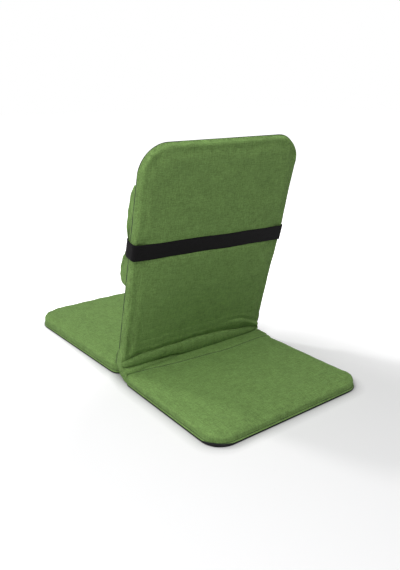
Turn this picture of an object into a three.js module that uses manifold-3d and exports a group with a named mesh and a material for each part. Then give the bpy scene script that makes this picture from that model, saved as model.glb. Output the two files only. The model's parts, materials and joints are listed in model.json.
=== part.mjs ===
// Folding floor chair: three padded leaves on one hinge line, a click hinge at each side,
// and a lumbar cushion held on the back by a strap.
// Millimetres, +Z up. The sitter's left is +X, the back leans towards +Y, the floor is z = 0.
import * as THREE from 'three';
import { mergeVertices } from 'three/addons/utils/BufferGeometryUtils.js';
import Module from 'manifold-3d';

const wasm = await Module();
wasm.setup();

// Driving sizes of the whole chair
const clearance = 0.3;
const cutOverrun = 4;
const backTiltDegrees = 14.6;

// Cloth
const cloth = { cover: 1.2, base: 1.2, baseRim: 3.6, flap: 1.2, webbing: 1.5 };

// Bent steel tube
const tube = { radius: 7, wall: 1.2 };
const tubeSides = 12;

// Click hinge: heights and widths are measured from the hinge axis
const hinge = {
  height: 38,
  side: 186,
  tongueRoom: 12,
  ratchetPlate: 3,
  casePlate: 1.5,
  seatPlate: 2.5,
  caseRadius: 14,
  tipRadius: 10.5,
  rootRadius: 8.8,
  eyeRadius: 9,
  armWidth: 8,
  armReach: 34,
  tubeMouth: 28,
  neckAcross: 10.4,
  neckBelow: 17.3
};
const pivot = { radius: 3, headRadius: 5.5, head: 1.6 };
const pawlPin = { radius: 2, headRadius: 3.2, head: 1 };
const springPost = { radius: 1.8, across: 8, below: 20.8 };
const pawl = {
  pivotAcross: 7,
  pivotBelow: 19,
  bossRadius: 3.6,
  halfWidth: 1.9,
  length: 16.1,
  tipAlong: 15.7,
  tipRise: 3.46,
  noseStart: 14.2
};
const pawlSlopeDegrees = 25.3;
const spring = { thickness: 0.5, width: 2.4, contactAlong: 8.5 };
const tooth = { firstDegrees: -69.5, pitchDegrees: 12, count: 6 };

// The three leaves, each measured from the hinge axis outwards, from its inner face up,
// and to the sides by how far it overhangs the click hinges
const seat = {
  start: 5, length: 457, farOverhang: 26.5, nearOverhang: 15, farCorner: 70, nearCorner: 14,
  boxing: 17, edge: 9, crown: 4, bottom: 1.5, notch: 20,
  frameInset: 26, frameBend: 48, frameHeight: 9.2, crossTube: 46
};
const tail = {
  start: 5, length: 356, farOverhang: 23, nearOverhang: 20, farCorner: 45, nearCorner: 14,
  boxing: 15, edge: 7, crown: 4, bottom: 1.5, notch: 20,
  frameInset: 24, frameBend: 30, frameHeight: 9.2, crossTube: 46
};
const back = {
  start: -9, length: 511, farOverhang: 21, nearOverhang: 19, farCorner: 62, nearCorner: 8,
  boxing: 16, edge: 6, crown: 1.5, bottom: 0, notch: 20,
  frameInset: 22, frameBend: 44, frameHeight: 13, crossTube: 46,
  axisHeight: 8, frontCrown: 1.5, frontInset: 1
};
const notchCorner = 5;
const tongueCorner = 5;

// Lumbar cushion and its strap, measured up the slope of the back from the hinge axis
const lumbar = {
  overhang: 14, bottom: 187, height: 225, lower: 47, waist: 27, endWaist: 12, upper: 39,
  endRound: 16, waistEase: 4, fullSide: 110
};
const cushionShares = {
  edge: 0.3, lowRise: 0.05, lowFull: 0.76, lowTop: 0.16, shoulder: 0.8, shoulderReach: 1.5,
  upperTop: 0.72, upperShoulder: 0.92
};
const strap = { width: 36, height: 283, corner: 6, frontCorner: 12 };
const strapRiseShare = 0.04;

// Slack cloth over the hinge
const flap = {
  overhang: 5, lap: 24, foldDepth: 8.4, foldOut: 1.4, rollOut: 11,
  nearRise: 19, nearMiddleRise: 26, middleRise: 25, farMiddleRise: 12, farRise: 4,
  nearSeam: 26, middleSeam: 58, farSeam: 60
};
const flapShares = { skirt: 0.3, skirtMiddle: 0.7, farMiddle: 0.66, nearMiddle: 0.52 };
const gusset = { lip: 4, overlap: 2, wave: 0.5 };
const sideGusset = { halfDepth: 17, radius: 17.5, pucker: 1.1 };

// Facets
const farArcSteps = 6;
const nearArcSteps = 2;
const edgeSteps = 3;
const strapArcSteps = 3;
const gussetArcSteps = 4;
const cushionSteps = 20;
const cushionStations = 12;
const pinSides = 16;
const crownShares = [0.8, 0.45];

// Turns of the hinge plates' rounded outlines, in degrees and facets
const turns = {
  caseTop: { from: -46, to: 205, steps: 18 },
  caseLobe: { from: 180, to: 270, steps: 4 },
  seatEye: { from: -50, to: 190, steps: 14 },
  springOuter: { from: -90, to: 100, steps: 8 },
  springInner: { from: 110, to: -90, steps: 8 }
};
const ratchetSteps = 8;
const bossSteps = 10;

const fullTurn = 360;
const halfTurn = fullTurn / 2;
const tilt = THREE.MathUtils.degToRad(backTiltDegrees);
const tongueSide = hinge.side - hinge.tongueRoom;
const overHinge = (overhang) => hinge.side + overhang;
const reversed = (direction) => direction.clone().negate();

// Colours of the cloth, foam and steel
const finishes = {
  green: { color: 0x5c8a3a, roughness: 0.92, metalness: 0 },
  darkGreen: { color: 0x557f36, roughness: 0.92, metalness: 0 },
  black: { color: 0x17171a, roughness: 0.85, metalness: 0 },
  webbing: { color: 0x1b1a1d, roughness: 0.7, metalness: 0 },
  foam: { color: 0xd9d6c4, roughness: 1, metalness: 0 },
  painted: { color: 0x2b2d2f, roughness: 0.45, metalness: 0.6 },
  zinc: { color: 0xb4b8bb, roughness: 0.35, metalness: 0.9 },
  springSteel: { color: 0x6c6f73, roughness: 0.3, metalness: 0.95 }
};

function addPiece(parent, name, geometry, finish) {
  const mesh = new THREE.Mesh(geometry, new THREE.MeshStandardMaterial(finishes[finish]));
  mesh.name = name;
  parent.add(mesh);
  return mesh;
}

// Solids from shared points: welds them and turns the faces outwards
function weld(geometry) {
  geometry.deleteAttribute('normal');
  geometry.deleteAttribute('uv');
  return mergeVertices(geometry);
}

function signedVolume(positions, faces) {
  const [a, b, c] = [new THREE.Vector3(), new THREE.Vector3(), new THREE.Vector3()];
  let volume = 0;
  for (const [i, j, k] of faces) {
    volume += a.copy(positions[i]).dot(b.copy(positions[j]).cross(c.copy(positions[k])));
  }
  return volume;
}

function solidFrom(points, faces) {
  const outwards = signedVolume(points, faces) > 0;
  const index = faces.flatMap(([i, j, k]) => (outwards ? [i, j, k] : [i, k, j]));
  const geometry = new THREE.BufferGeometry().setFromPoints(points);
  geometry.setIndex(index);
  return geometry;
}

// A closed body through rings of equal count, closed by a fan at each end
function loft(rings, startCentre, endCentre) {
  const count = rings[0].length;
  const points = rings.flat();
  const faces = [];
  for (let ring = 0; ring + 1 < rings.length; ring += 1) {
    for (let i = 0; i < count; i += 1) {
      const next = (i + 1) % count;
      const [a, b] = [ring * count + i, ring * count + next];
      faces.push([a, b, b + count], [a, b + count, a + count]);
    }
  }
  const lastRing = (rings.length - 1) * count;
  points.push(startCentre, endCentre);
  for (let i = 0; i < count; i += 1) {
    const next = (i + 1) % count;
    faces.push([points.length - 2, next, i]);
    faces.push([points.length - 1, lastRing + i, lastRing + next]);
  }
  return solidFrom(points, faces);
}

// A cloth sheet of even thickness on a grid of points
function sheet(grid, thickness) {
  const [rows, columns] = [grid.length, grid[0].length];
  const within = (index, count) => THREE.MathUtils.clamp(index, 0, count - 1);
  const at = (r, c) => grid[within(r, rows)][within(c, columns)];
  const sides = [[], []];
  for (let r = 0; r < rows; r += 1) {
    for (let c = 0; c < columns; c += 1) {
      const along = at(r + 1, c).clone().sub(at(r - 1, c));
      const across = at(r, c + 1).clone().sub(at(r, c - 1));
      const offset = along.cross(across).setLength(thickness / 2);
      sides[0].push(grid[r][c].clone().add(offset));
      sides[1].push(grid[r][c].clone().sub(offset));
    }
  }
  const faces = [];
  const half = rows * columns;
  const quad = (a, b, c, d) => faces.push([a, b, c], [a, c, d]);
  for (let r = 0; r + 1 < rows; r += 1) {
    for (let c = 0; c + 1 < columns; c += 1) {
      const a = r * columns + c;
      quad(a, a + columns, a + columns + 1, a + 1);
      quad(a + half, a + half + 1, a + half + columns + 1, a + half + columns);
    }
    const [left, right] = [r * columns, r * columns + columns - 1];
    quad(left, left + half, left + half + columns, left + columns);
    quad(right, right + columns, right + columns + half, right + half);
  }
  for (let c = 0; c + 1 < columns; c += 1) {
    const last = (rows - 1) * columns + c;
    quad(c, c + 1, c + 1 + half, c + half);
    quad(last, last + half, last + half + 1, last + 1);
  }
  return solidFrom([...sides[0], ...sides[1]], faces);
}

// Booleans
function toManifold(geometry) {
  const merged = weld(geometry.clone());
  const mesh = new wasm.Mesh({
    numProp: 3,
    vertProperties: new Float32Array(merged.attributes.position.array),
    triVerts: new Uint32Array(merged.index.array)
  });
  return new wasm.Manifold(mesh);
}

function cut(geometry, cutters) {
  let solid = toManifold(geometry);
  for (const cutter of cutters) solid = solid.subtract(toManifold(cutter));
  const mesh = solid.getMesh();
  const positions = new Float32Array(mesh.vertProperties);
  const result = new THREE.BufferGeometry();
  result.setAttribute('position', new THREE.BufferAttribute(positions, 3));
  result.setIndex(Array.from(mesh.triVerts));
  return result;
}

function boxBetween(low, high) {
  const size = high.clone().sub(low);
  const centre = low.clone().add(high).divideScalar(2);
  return new THREE.BoxGeometry(size.x, size.y, size.z).translate(centre.x, centre.y, centre.z);
}

// Outline of straight sides with rounded corners, listed anticlockwise and drawn in by an inset
function roundedOutline(corners, inset) {
  const count = corners.length;
  const sides = corners.map((corner, i) => {
    const next = corners[(i + 1) % count].at;
    const direction = next.clone().sub(corner.at).normalize();
    const inwards = new THREE.Vector2(-direction.y, direction.x);
    return { from: corner.at.clone().addScaledVector(inwards, inset), direction };
  });
  const points = [];
  corners.forEach((corner, i) => {
    const before = sides[(i + count - 1) % count];
    const after = sides[i];
    const bend = before.direction.cross(after.direction);
    const reach = after.from.clone().sub(before.from).cross(after.direction) / bend;
    const tip = before.from.clone().addScaledVector(before.direction, reach);
    const radius = bend > 0 ? Math.max(corner.radius - inset, clearance) : corner.radius + inset;
    const turn = Math.acos(THREE.MathUtils.clamp(before.direction.dot(after.direction), -1, 1));
    const tangent = radius * Math.tan(turn / 2);
    const start = tip.clone().addScaledVector(before.direction, -tangent);
    const side = Math.sign(bend);
    const towards = new THREE.Vector2(-before.direction.y, before.direction.x).multiplyScalar(side);
    const centre = start.clone().addScaledVector(towards, radius);
    for (let step = 0; step <= corner.steps; step += 1) {
      const angle = side * turn * (step / corner.steps);
      points.push(start.clone().rotateAround(centre, angle));
    }
  });
  return points;
}

// Leaf space: x across, y out from the hinge, z up from the leaf's inner face
function leafCorners(leaf) {
  const corner = (x, y, radius, steps) => ({ at: new THREE.Vector2(x, y), radius, steps });
  const [far, near] = [overHinge(leaf.farOverhang), overHinge(leaf.nearOverhang)];
  return [
    corner(-tongueSide, leaf.start, tongueCorner, nearArcSteps),
    corner(tongueSide, leaf.start, tongueCorner, nearArcSteps),
    corner(tongueSide, leaf.notch, notchCorner, nearArcSteps),
    corner(near, leaf.notch, leaf.nearCorner, nearArcSteps),
    corner(far, leaf.length, leaf.farCorner, farArcSteps),
    corner(-far, leaf.length, leaf.farCorner, farArcSteps),
    corner(-near, leaf.notch, leaf.nearCorner, nearArcSteps),
    corner(-tongueSide, leaf.notch, notchCorner, nearArcSteps)
  ];
}

const leafMiddle = (leaf) => (leaf.start + leaf.length) / 2;

function ringAt(leaf, inset, height) {
  return roundedOutline(leafCorners(leaf), inset).map((p) => new THREE.Vector3(p.x, p.y, height));
}

// Rings up the boxing, round the edge and over the crown, all a given depth inside the cloth
function faceRings(leaf, depth, bottom, steps) {
  const radius = leaf.edge - depth;
  const rings = [ringAt(leaf, depth, bottom)];
  for (let step = 0; step <= steps; step += 1) {
    const angle = (Math.PI / 2) * (step / steps);
    const inset = leaf.edge - radius * Math.cos(angle);
    rings.push(ringAt(leaf, inset, leaf.boxing + radius * Math.sin(angle)));
  }
  const rim = rings.at(-1);
  for (const share of crownShares) {
    const height = leaf.boxing + radius + leaf.crown * (1 - share * share);
    rings.push(rim.map((p) => new THREE.Vector3(
      p.x * share, leafMiddle(leaf) + (p.y - leafMiddle(leaf)) * share, height)));
  }
  const centre = new THREE.Vector3(0, leafMiddle(leaf), leaf.boxing + radius + leaf.crown);
  return { rings, centre };
}

// Slot in a cover's hem where a hinge arm passes
function armSlots(leaf, side, halfThickness, low, high) {
  return [-1, 1].map((hand) => boxBetween(
    new THREE.Vector3(hand * side - halfThickness - clearance, leaf.notch - cutOverrun, low),
    new THREE.Vector3(hand * side + halfThickness + clearance, leaf.notch + leaf.edge, high)));
}

function leafCover(leaf, slots) {
  const outer = faceRings(leaf, 0, leaf.bottom, edgeSteps);
  const inner = faceRings(leaf, cloth.cover, leaf.bottom, edgeSteps - 1);
  const rings = [...inner.rings.slice().reverse(), ...outer.rings];
  return cut(loft(rings, inner.centre, outer.centre), slots);
}

function baseCloth(leaf) {
  const floor = (height) => new THREE.Vector3(0, leafMiddle(leaf), height);
  const outside = -(cloth.base + clearance);
  const rings = [
    ringAt(leaf, outside, 0),
    ringAt(leaf, outside, cloth.baseRim),
    ringAt(leaf, -clearance, cloth.baseRim),
    ringAt(leaf, -clearance, cloth.base)
  ];
  return loft(rings, floor(0), floor(cloth.base));
}

// Frame tube of a leaf: two legs and a far bar, bent from one length
class BentPath extends THREE.Curve {
  constructor(stations) {
    super();
    this.stations = stations;
  }

  station(share) {
    return this.stations[Math.round(share * (this.stations.length - 1))];
  }

  getPointAt(share, target = new THREE.Vector3()) {
    return target.copy(this.station(share).point);
  }

  getTangentAt(share, target = new THREE.Vector3()) {
    return target.copy(this.station(share).tangent);
  }
}

function framePath(leaf, legSide, start, end) {
  const bend = leaf.frameBend;
  const stations = [];
  const add = (x, y, heading) => stations.push({
    point: new THREE.Vector3(x, y, leaf.frameHeight),
    tangent: new THREE.Vector3(Math.cos(heading), Math.sin(heading), 0)
  });
  add(legSide, start, Math.PI / 2);
  for (const hand of [1, -1]) {
    for (let step = 0; step <= farArcSteps; step += 1) {
      const angle = (hand > 0 ? 0 : Math.PI / 2) + (Math.PI / 2) * (step / farArcSteps);
      const x = hand * (legSide - bend) + bend * Math.cos(angle);
      add(x, end - bend + bend * Math.sin(angle), angle + Math.PI / 2);
    }
  }
  add(-legSide, start, -Math.PI / 2);
  return new BentPath(stations);
}

function sweep(shape, path) {
  const steps = path.stations.length - 1;
  return new THREE.ExtrudeGeometry(shape, { steps, extrudePath: path, curveSegments: tubeSides });
}

function circleShape(radius, sides) {
  const points = [];
  for (let i = 0; i < sides; i += 1) {
    const angle = (2 * Math.PI * (i + 0.5)) / sides;
    points.push(new THREE.Vector2(radius * Math.cos(angle), radius * Math.sin(angle)));
  }
  return new THREE.Shape(points);
}

function tubeSection() {
  const section = circleShape(tube.radius, tubeSides);
  section.holes.push(circleShape(tube.radius - tube.wall, tubeSides));
  return section;
}

const frameEnd = (leaf) => leaf.length - leaf.frameInset;

function frameTube(leaf, legSide) {
  return sweep(tubeSection(), framePath(leaf, legSide, hinge.tubeMouth, frameEnd(leaf)));
}

function crossTube(leaf, legSide) {
  const options = { depth: 2 * legSide, steps: 1, bevelEnabled: false };
  const plain = new THREE.ExtrudeGeometry(tubeSection(), options)
    .rotateY(Math.PI / 2)
    .translate(-legSide, leaf.crossTube, leaf.frameHeight);
  const legReach = leaf.crossTube + 2 * tube.radius;
  const cope = (tube.radius + clearance) / Math.cos(Math.PI / tubeSides);
  const legs = [-1, 1].map((hand) => new THREE.ExtrudeGeometry(
    circleShape(cope, tubeSides),
    { depth: legReach, steps: 1, bevelEnabled: false }
  ).rotateX(-Math.PI / 2).translate(hand * legSide, 0, leaf.frameHeight));
  return cut(plain, legs);
}

// Foam slab inside the cover, with a groove for the frame on the side that the frame lies on
function leafFoam(leaf, legSide, grooveUp) {
  const depth = cloth.cover + clearance;
  const bottom = leaf.bottom + (grooveUp ? cloth.cover + clearance : 0);
  const face = faceRings(leaf, depth, bottom, edgeSteps - 1);
  const slab = loft(face.rings, new THREE.Vector3(0, leafMiddle(leaf), bottom), face.centre);
  const reach = tube.radius + clearance;
  const open = leaf.boxing + leaf.edge + leaf.crown + cutOverrun;
  const [low, high] = grooveUp ? [-open, reach] : [-reach, open];
  const channel = new THREE.Shape([
    new THREE.Vector2(low, -reach), new THREE.Vector2(high, -reach),
    new THREE.Vector2(high, reach), new THREE.Vector2(low, reach)
  ]);
  const groove = sweep(channel, framePath(leaf, legSide, leaf.start - cutOverrun, frameEnd(leaf)));
  const [floor, top] = [leaf.frameHeight - high, leaf.frameHeight - low];
  const cross = boxBetween(
    new THREE.Vector3(-legSide, leaf.crossTube - reach, floor),
    new THREE.Vector3(legSide, leaf.crossTube + reach, top));
  return cut(slab, [groove, cross]);
}

// Front panel of the back: a thin crowned sheet that closes the rear cover
function frontPanel(leaf) {
  const middle = leafMiddle(leaf);
  const [thickness, outer] = [cloth.cover, -(cloth.cover + clearance)];
  const crowned = (height) => {
    const rim = ringAt(leaf, leaf.frontInset, height);
    const crown = crownShares.map((share) => rim.map((p) => new THREE.Vector3(
      p.x * share, middle + (p.y - middle) * share,
      height - leaf.frontCrown * (1 - share * share))));
    return [rim, ...crown];
  };
  const under = crowned(-clearance);
  const over = crowned(outer);
  const centre = (height) => new THREE.Vector3(0, middle, height - leaf.frontCrown);
  const rings = [...under.reverse(), ...over];
  return loft(rings, centre(-clearance), centre(-clearance - thickness));
}

// Hinge plates are drawn in the (y, z) plane about the hinge axis and extruded across it
function plate(shape, thickness) {
  return new THREE.ExtrudeGeometry(shape, { depth: thickness, bevelEnabled: false })
    .translate(0, 0, -thickness / 2)
    .applyMatrix4(new THREE.Matrix4().makeBasis(
      new THREE.Vector3(0, 1, 0), new THREE.Vector3(0, 0, 1), new THREE.Vector3(1, 0, 0)));
}

function arcPoints(centre, radius, fromDegrees, toDegrees, steps) {
  const points = [];
  for (let step = 0; step <= steps; step += 1) {
    const angle = THREE.MathUtils.degToRad(
      THREE.MathUtils.lerp(fromDegrees, toDegrees, step / steps));
    points.push(new THREE.Vector2(
      centre.x + radius * Math.cos(angle), centre.y + radius * Math.sin(angle)));
  }
  return points;
}

function turnPoints(centre, radius, turn) {
  return arcPoints(centre, radius, turn.from, turn.to, turn.steps);
}

function hole(centre, radius) {
  return new THREE.Path(arcPoints(centre, radius, 0, fullTurn, pinSides).slice(0, -1));
}

const axisPoint = new THREE.Vector2(0, 0);
const pawlPoint = new THREE.Vector2(-pawl.pivotAcross, -pawl.pivotBelow);
const postPoint = new THREE.Vector2(springPost.across, -springPost.below);

function casePlateShape() {
  const half = hinge.armWidth / 2;
  const arm = tail.frameHeight - hinge.height;
  const lobe = pawl.bossRadius + pawl.halfWidth;
  const armEnd = hinge.tubeMouth + hinge.armReach;
  const shape = new THREE.Shape([
    ...turnPoints(axisPoint, hinge.caseRadius, turns.caseTop),
    ...turnPoints(pawlPoint, lobe, turns.caseLobe),
    new THREE.Vector2(springPost.across, arm - half),
    new THREE.Vector2(armEnd, arm - half),
    new THREE.Vector2(armEnd, arm + half),
    new THREE.Vector2(hinge.caseRadius + springPost.radius, arm + half),
    new THREE.Vector2(hinge.neckAcross, -hinge.neckBelow)
  ]);
  shape.holes.push(hole(axisPoint, pivot.radius + clearance));
  shape.holes.push(hole(pawlPoint, pawlPin.radius + clearance));
  shape.holes.push(hole(postPoint, springPost.radius + clearance));
  return shape;
}

// Ratchet plate in the back's own space: the arm runs up the frame's leg
function ratchetShape() {
  const half = hinge.armWidth / 2;
  const line = back.frameHeight - back.axisHeight;
  const armEnd = hinge.tubeMouth + hinge.armReach;
  const turn = backTiltDegrees;
  const teeth = [];
  for (let i = 0; i < tooth.count; i += 1) {
    const flank = tooth.firstDegrees + i * tooth.pitchDegrees + turn;
    const tip = flank - tooth.pitchDegrees;
    teeth.push(...arcPoints(axisPoint, hinge.tipRadius, tip, tip, 1).slice(0, 1));
    teeth.push(...arcPoints(axisPoint, hinge.rootRadius, flank, flank, 1).slice(0, 1));
  }
  const lastFlank = tooth.firstDegrees + (tooth.count - 1) * tooth.pitchDegrees + turn;
  const firstTip = tooth.firstDegrees - tooth.pitchDegrees + turn;
  const rear = THREE.MathUtils.radToDeg(Math.acos((line + half) / hinge.tipRadius));
  const front = halfTurn - THREE.MathUtils.radToDeg(Math.acos((half - line) / hinge.rootRadius));
  const shape = new THREE.Shape([
    ...arcPoints(
      axisPoint, hinge.rootRadius, halfTurn + front, fullTurn + firstTip, ratchetSteps),
    ...teeth,
    ...arcPoints(axisPoint, hinge.tipRadius, lastFlank, rear, nearArcSteps),
    new THREE.Vector2(line + half, armEnd),
    new THREE.Vector2(line - half, armEnd),
    ...arcPoints(axisPoint, hinge.rootRadius, front, halfTurn + front, ratchetSteps).slice(0, -1)
  ]);
  shape.holes.push(hole(axisPoint, pivot.radius + clearance));
  return shape;
}

function seatArmShape() {
  const half = hinge.armWidth / 2;
  const arm = seat.frameHeight - hinge.height;
  const armEnd = -(hinge.tubeMouth + hinge.armReach);
  const bendOut = -(seat.notch - half);
  const shape = new THREE.Shape([
    ...turnPoints(axisPoint, hinge.eyeRadius, turns.seatEye),
    new THREE.Vector2(bendOut, arm + half),
    new THREE.Vector2(armEnd, arm + half),
    new THREE.Vector2(armEnd, arm - half),
    new THREE.Vector2(bendOut + half, arm - half)
  ]);
  shape.holes.push(hole(axisPoint, pivot.radius + clearance));
  return shape;
}

// Pawl: a bar along its own line with a nose that drops between two teeth
function pawlFrame(along, rise) {
  const slope = THREE.MathUtils.degToRad(pawlSlopeDegrees);
  return new THREE.Vector2(along, rise).rotateAround(axisPoint, slope).add(pawlPoint);
}

function pawlShape() {
  const wide = pawl.halfWidth;
  const neckAngle = THREE.MathUtils.radToDeg(Math.asin(wide / pawl.bossRadius));
  const boss = arcPoints(pawlPoint, pawl.bossRadius,
    pawlSlopeDegrees + neckAngle, pawlSlopeDegrees + fullTurn - neckAngle, bossSteps);
  const shape = new THREE.Shape([
    ...boss,
    pawlFrame(pawl.length, -wide),
    pawlFrame(pawl.tipAlong, pawl.tipRise),
    pawlFrame(pawl.noseStart, wide)
  ]);
  shape.holes.push(hole(pawlPoint, pawlPin.radius + clearance));
  return shape;
}

// Leaf spring: hooked round its post, its free end under the pawl
function springShape() {
  const inner = springPost.radius + clearance;
  const outer = inner + spring.thickness;
  const contact = pawlFrame(spring.contactAlong, -pawl.halfWidth - clearance);
  const under = pawlFrame(spring.contactAlong, -pawl.halfWidth - clearance - spring.thickness);
  return new THREE.Shape([
    ...turnPoints(postPoint, outer, turns.springOuter),
    contact,
    under,
    ...turnPoints(postPoint, inner, turns.springInner)
  ]);
}

// Round pin on the x axis with a head at its high end, and one at its low end if it has height
function rivet(radius, low, high, heads) {
  const at = (across, along) => new THREE.Vector2(across, along);
  const foot = low - heads.low;
  const lowHead = heads.low > 0 ? [at(heads.radius, foot), at(heads.radius, low)] : [];
  const top = high + heads.high;
  const profile = [
    at(0, foot), ...lowHead, at(radius, low), at(radius, high),
    at(heads.radius, high), at(heads.radius, top), at(0, top)
  ];
  return weld(new THREE.LatheGeometry(profile, pinSides)).rotateZ(-Math.PI / 2);
}

// Distances out from the middle of the ratchet plate
const caseOffset = hinge.ratchetPlate / 2 + clearance + hinge.casePlate / 2;
const caseFace = caseOffset + hinge.casePlate / 2;
const seatArmOffset = -(caseFace + clearance + hinge.seatPlate / 2);
const seatArmFace = seatArmOffset - hinge.seatPlate / 2;
const seatLegSide = hinge.side + seatArmOffset;
const frameLegSide = hinge.side;

function placeAcross(geometry, hand, offset, point) {
  const across = hand * (hinge.side + offset);
  return geometry.translate(across, point ? point.x : 0, hinge.height + (point ? point.y : 0));
}

function clickHinge(chair, backSpace, prefix, hand) {
  const turned = (geometry) => (hand > 0 ? geometry : geometry.rotateY(Math.PI));
  addPiece(chair, `${prefix}_case_outer`,
    placeAcross(plate(casePlateShape(), hinge.casePlate), hand, caseOffset), 'zinc');
  addPiece(chair, `${prefix}_case_inner`,
    placeAcross(plate(casePlateShape(), hinge.casePlate), hand, -caseOffset), 'zinc');
  addPiece(chair, `${prefix}_seat_arm`,
    placeAcross(plate(seatArmShape(), hinge.seatPlate), hand, seatArmOffset), 'zinc');
  addPiece(chair, `${prefix}_pawl`,
    placeAcross(plate(pawlShape(), hinge.ratchetPlate), hand, 0), 'springSteel');
  addPiece(chair, `${prefix}_pawl_spring`,
    placeAcross(plate(springShape(), spring.width), hand, 0), 'springSteel');
  const pivotHeads = { radius: pivot.headRadius, low: pivot.head, high: pivot.head };
  addPiece(chair, `${prefix}_pivot_rivet`, placeAcross(turned(rivet(
    pivot.radius, seatArmFace - clearance, caseFace + clearance, pivotHeads)), hand, 0), 'zinc');
  const pinHeads = { radius: pawlPin.headRadius, low: 0, high: pawlPin.head };
  addPiece(chair, `${prefix}_pawl_pin`, placeAcross(turned(rivet(
    pawlPin.radius, -caseFace, caseFace + clearance, pinHeads)), hand, 0, pawlPoint), 'zinc');
  const postHeads = { radius: springPost.radius + pawlPin.head, low: 0, high: pawlPin.head };
  addPiece(chair, `${prefix}_spring_post`, placeAcross(turned(rivet(
    springPost.radius, -caseFace, caseFace + clearance, postHeads)), hand, 0, postPoint), 'zinc');
  addPiece(backSpace, `${prefix}_ratchet_plate`,
    plate(ratchetShape(), hinge.ratchetPlate).translate(hand * hinge.side, 0, 0), 'zinc');
}

// Lumbar cushion: two lobes with a waist for the strap, full in the middle and drawn in at the ends
function cushionProfile(waist) {
  const { lower, upper, height, bottom } = lumbar;
  const shares = cushionShares;
  const at = (rise, thickness) => new THREE.Vector2(rise, thickness);
  const half = strap.width / 2 + lumbar.waistEase;
  const middle = strap.height - bottom;
  const reach = half * shares.shoulderReach;
  return new THREE.SplineCurve([
    at(0, lower * shares.edge),
    at(height * shares.lowRise, lower * shares.lowFull),
    at(height * shares.lowTop, lower),
    at(middle - reach, lower * shares.shoulder),
    at(middle - half, waist),
    at(middle + half, waist),
    at(middle + reach, upper * shares.shoulder),
    at(height * shares.upperTop, upper),
    at(height * shares.upperShoulder, upper * shares.shoulder),
    at(height, upper * shares.edge)
  ]);
}

function lumbarCushion(rear) {
  const side = overHinge(lumbar.overhang);
  const rings = [];
  for (let station = 0; station <= cushionStations; station += 1) {
    const along = (2 * station) / cushionStations - 1;
    const x = side * Math.sign(along) * (1 - (1 - Math.abs(along)) ** 3);
    const drawnIn = Math.max(Math.abs(x) - lumbar.fullSide, 0) / (side - lumbar.fullSide);
    const waist = THREE.MathUtils.lerp(lumbar.waist, lumbar.endWaist, drawnIn);
    const profile = cushionProfile(waist).getPoints(cushionSteps);
    const fromEnd = Math.min(side - Math.abs(x), lumbar.endRound);
    const swell = Math.sqrt(1 - (1 - fromEnd / lumbar.endRound) ** 2);
    const full = THREE.MathUtils.lerp(lumbar.endRound / lumbar.lower, 1, swell);
    const middle = lumbar.height / 2;
    const front = profile.map((p) => {
      const z = middle + (p.x - middle) * THREE.MathUtils.lerp(1 - strapRiseShare, 1, swell);
      return new THREE.Vector3(x, rear - p.y * full, lumbar.bottom + z + x * strapRiseShare);
    });
    const flat = [front.at(-1), front[0]].map((p) => new THREE.Vector3(p.x, rear, p.z));
    rings.push([...front, ...flat]);
  }
  const ends = [rings[0], rings.at(-1)].map((ring) => {
    const centre = new THREE.Vector3();
    ring.forEach((p) => centre.add(p));
    return centre.divideScalar(ring.length);
  });
  return loft(rings, ends[0], ends[1]);
}

// Strap: one closed loop of webbing round the back and over the waist of the cushion
function lumbarStrap(rear, cushionRear) {
  const side = overHinge(Math.max(back.farOverhang, back.nearOverhang)) + clearance;
  const front = cushionRear - lumbar.waist - clearance;
  const endFront = cushionRear - lumbar.endWaist - clearance;
  const frontEdge = -back.axisHeight;
  const frontSide = overHinge(lumbar.overhang) + clearance;
  const corner = (x, y, radius) => ({
    at: new THREE.Vector2(x, y), radius, steps: strapArcSteps
  });
  const corners = [
    corner(-frontSide, endFront, strap.frontCorner),
    corner(-lumbar.fullSide, front, strap.frontCorner),
    corner(lumbar.fullSide, front, strap.frontCorner),
    corner(frontSide, endFront, strap.frontCorner),
    corner(side, frontEdge, strap.frontCorner),
    corner(side, rear, strap.corner),
    corner(-side, rear, strap.corner),
    corner(-side, frontEdge, strap.frontCorner)
  ];
  const loop = (outset) => roundedOutline(corners, -outset);
  const shape = new THREE.Shape(loop(cloth.webbing));
  shape.holes.push(new THREE.Path(loop(0)));
  const band = new THREE.ExtrudeGeometry(shape, { depth: strap.width, bevelEnabled: false });
  const lean = new THREE.Matrix4().set(
    1, 0, 0, 0, 0, 1, 0, 0, strapRiseShare, 0, 1, strap.height - strap.width / 2, 0, 0, 0, 1);
  return band.applyMatrix4(lean);
}

// Height of a leaf's crowned face at a distance from the hinge
function crownAt(leaf, distance) {
  const reach = leafMiddle(leaf) - leaf.start - leaf.edge;
  const share = THREE.MathUtils.clamp((leafMiddle(leaf) - distance) / reach, 0, 1);
  return leaf.boxing + leaf.edge + leaf.crown * (1 - share * share);
}

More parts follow.
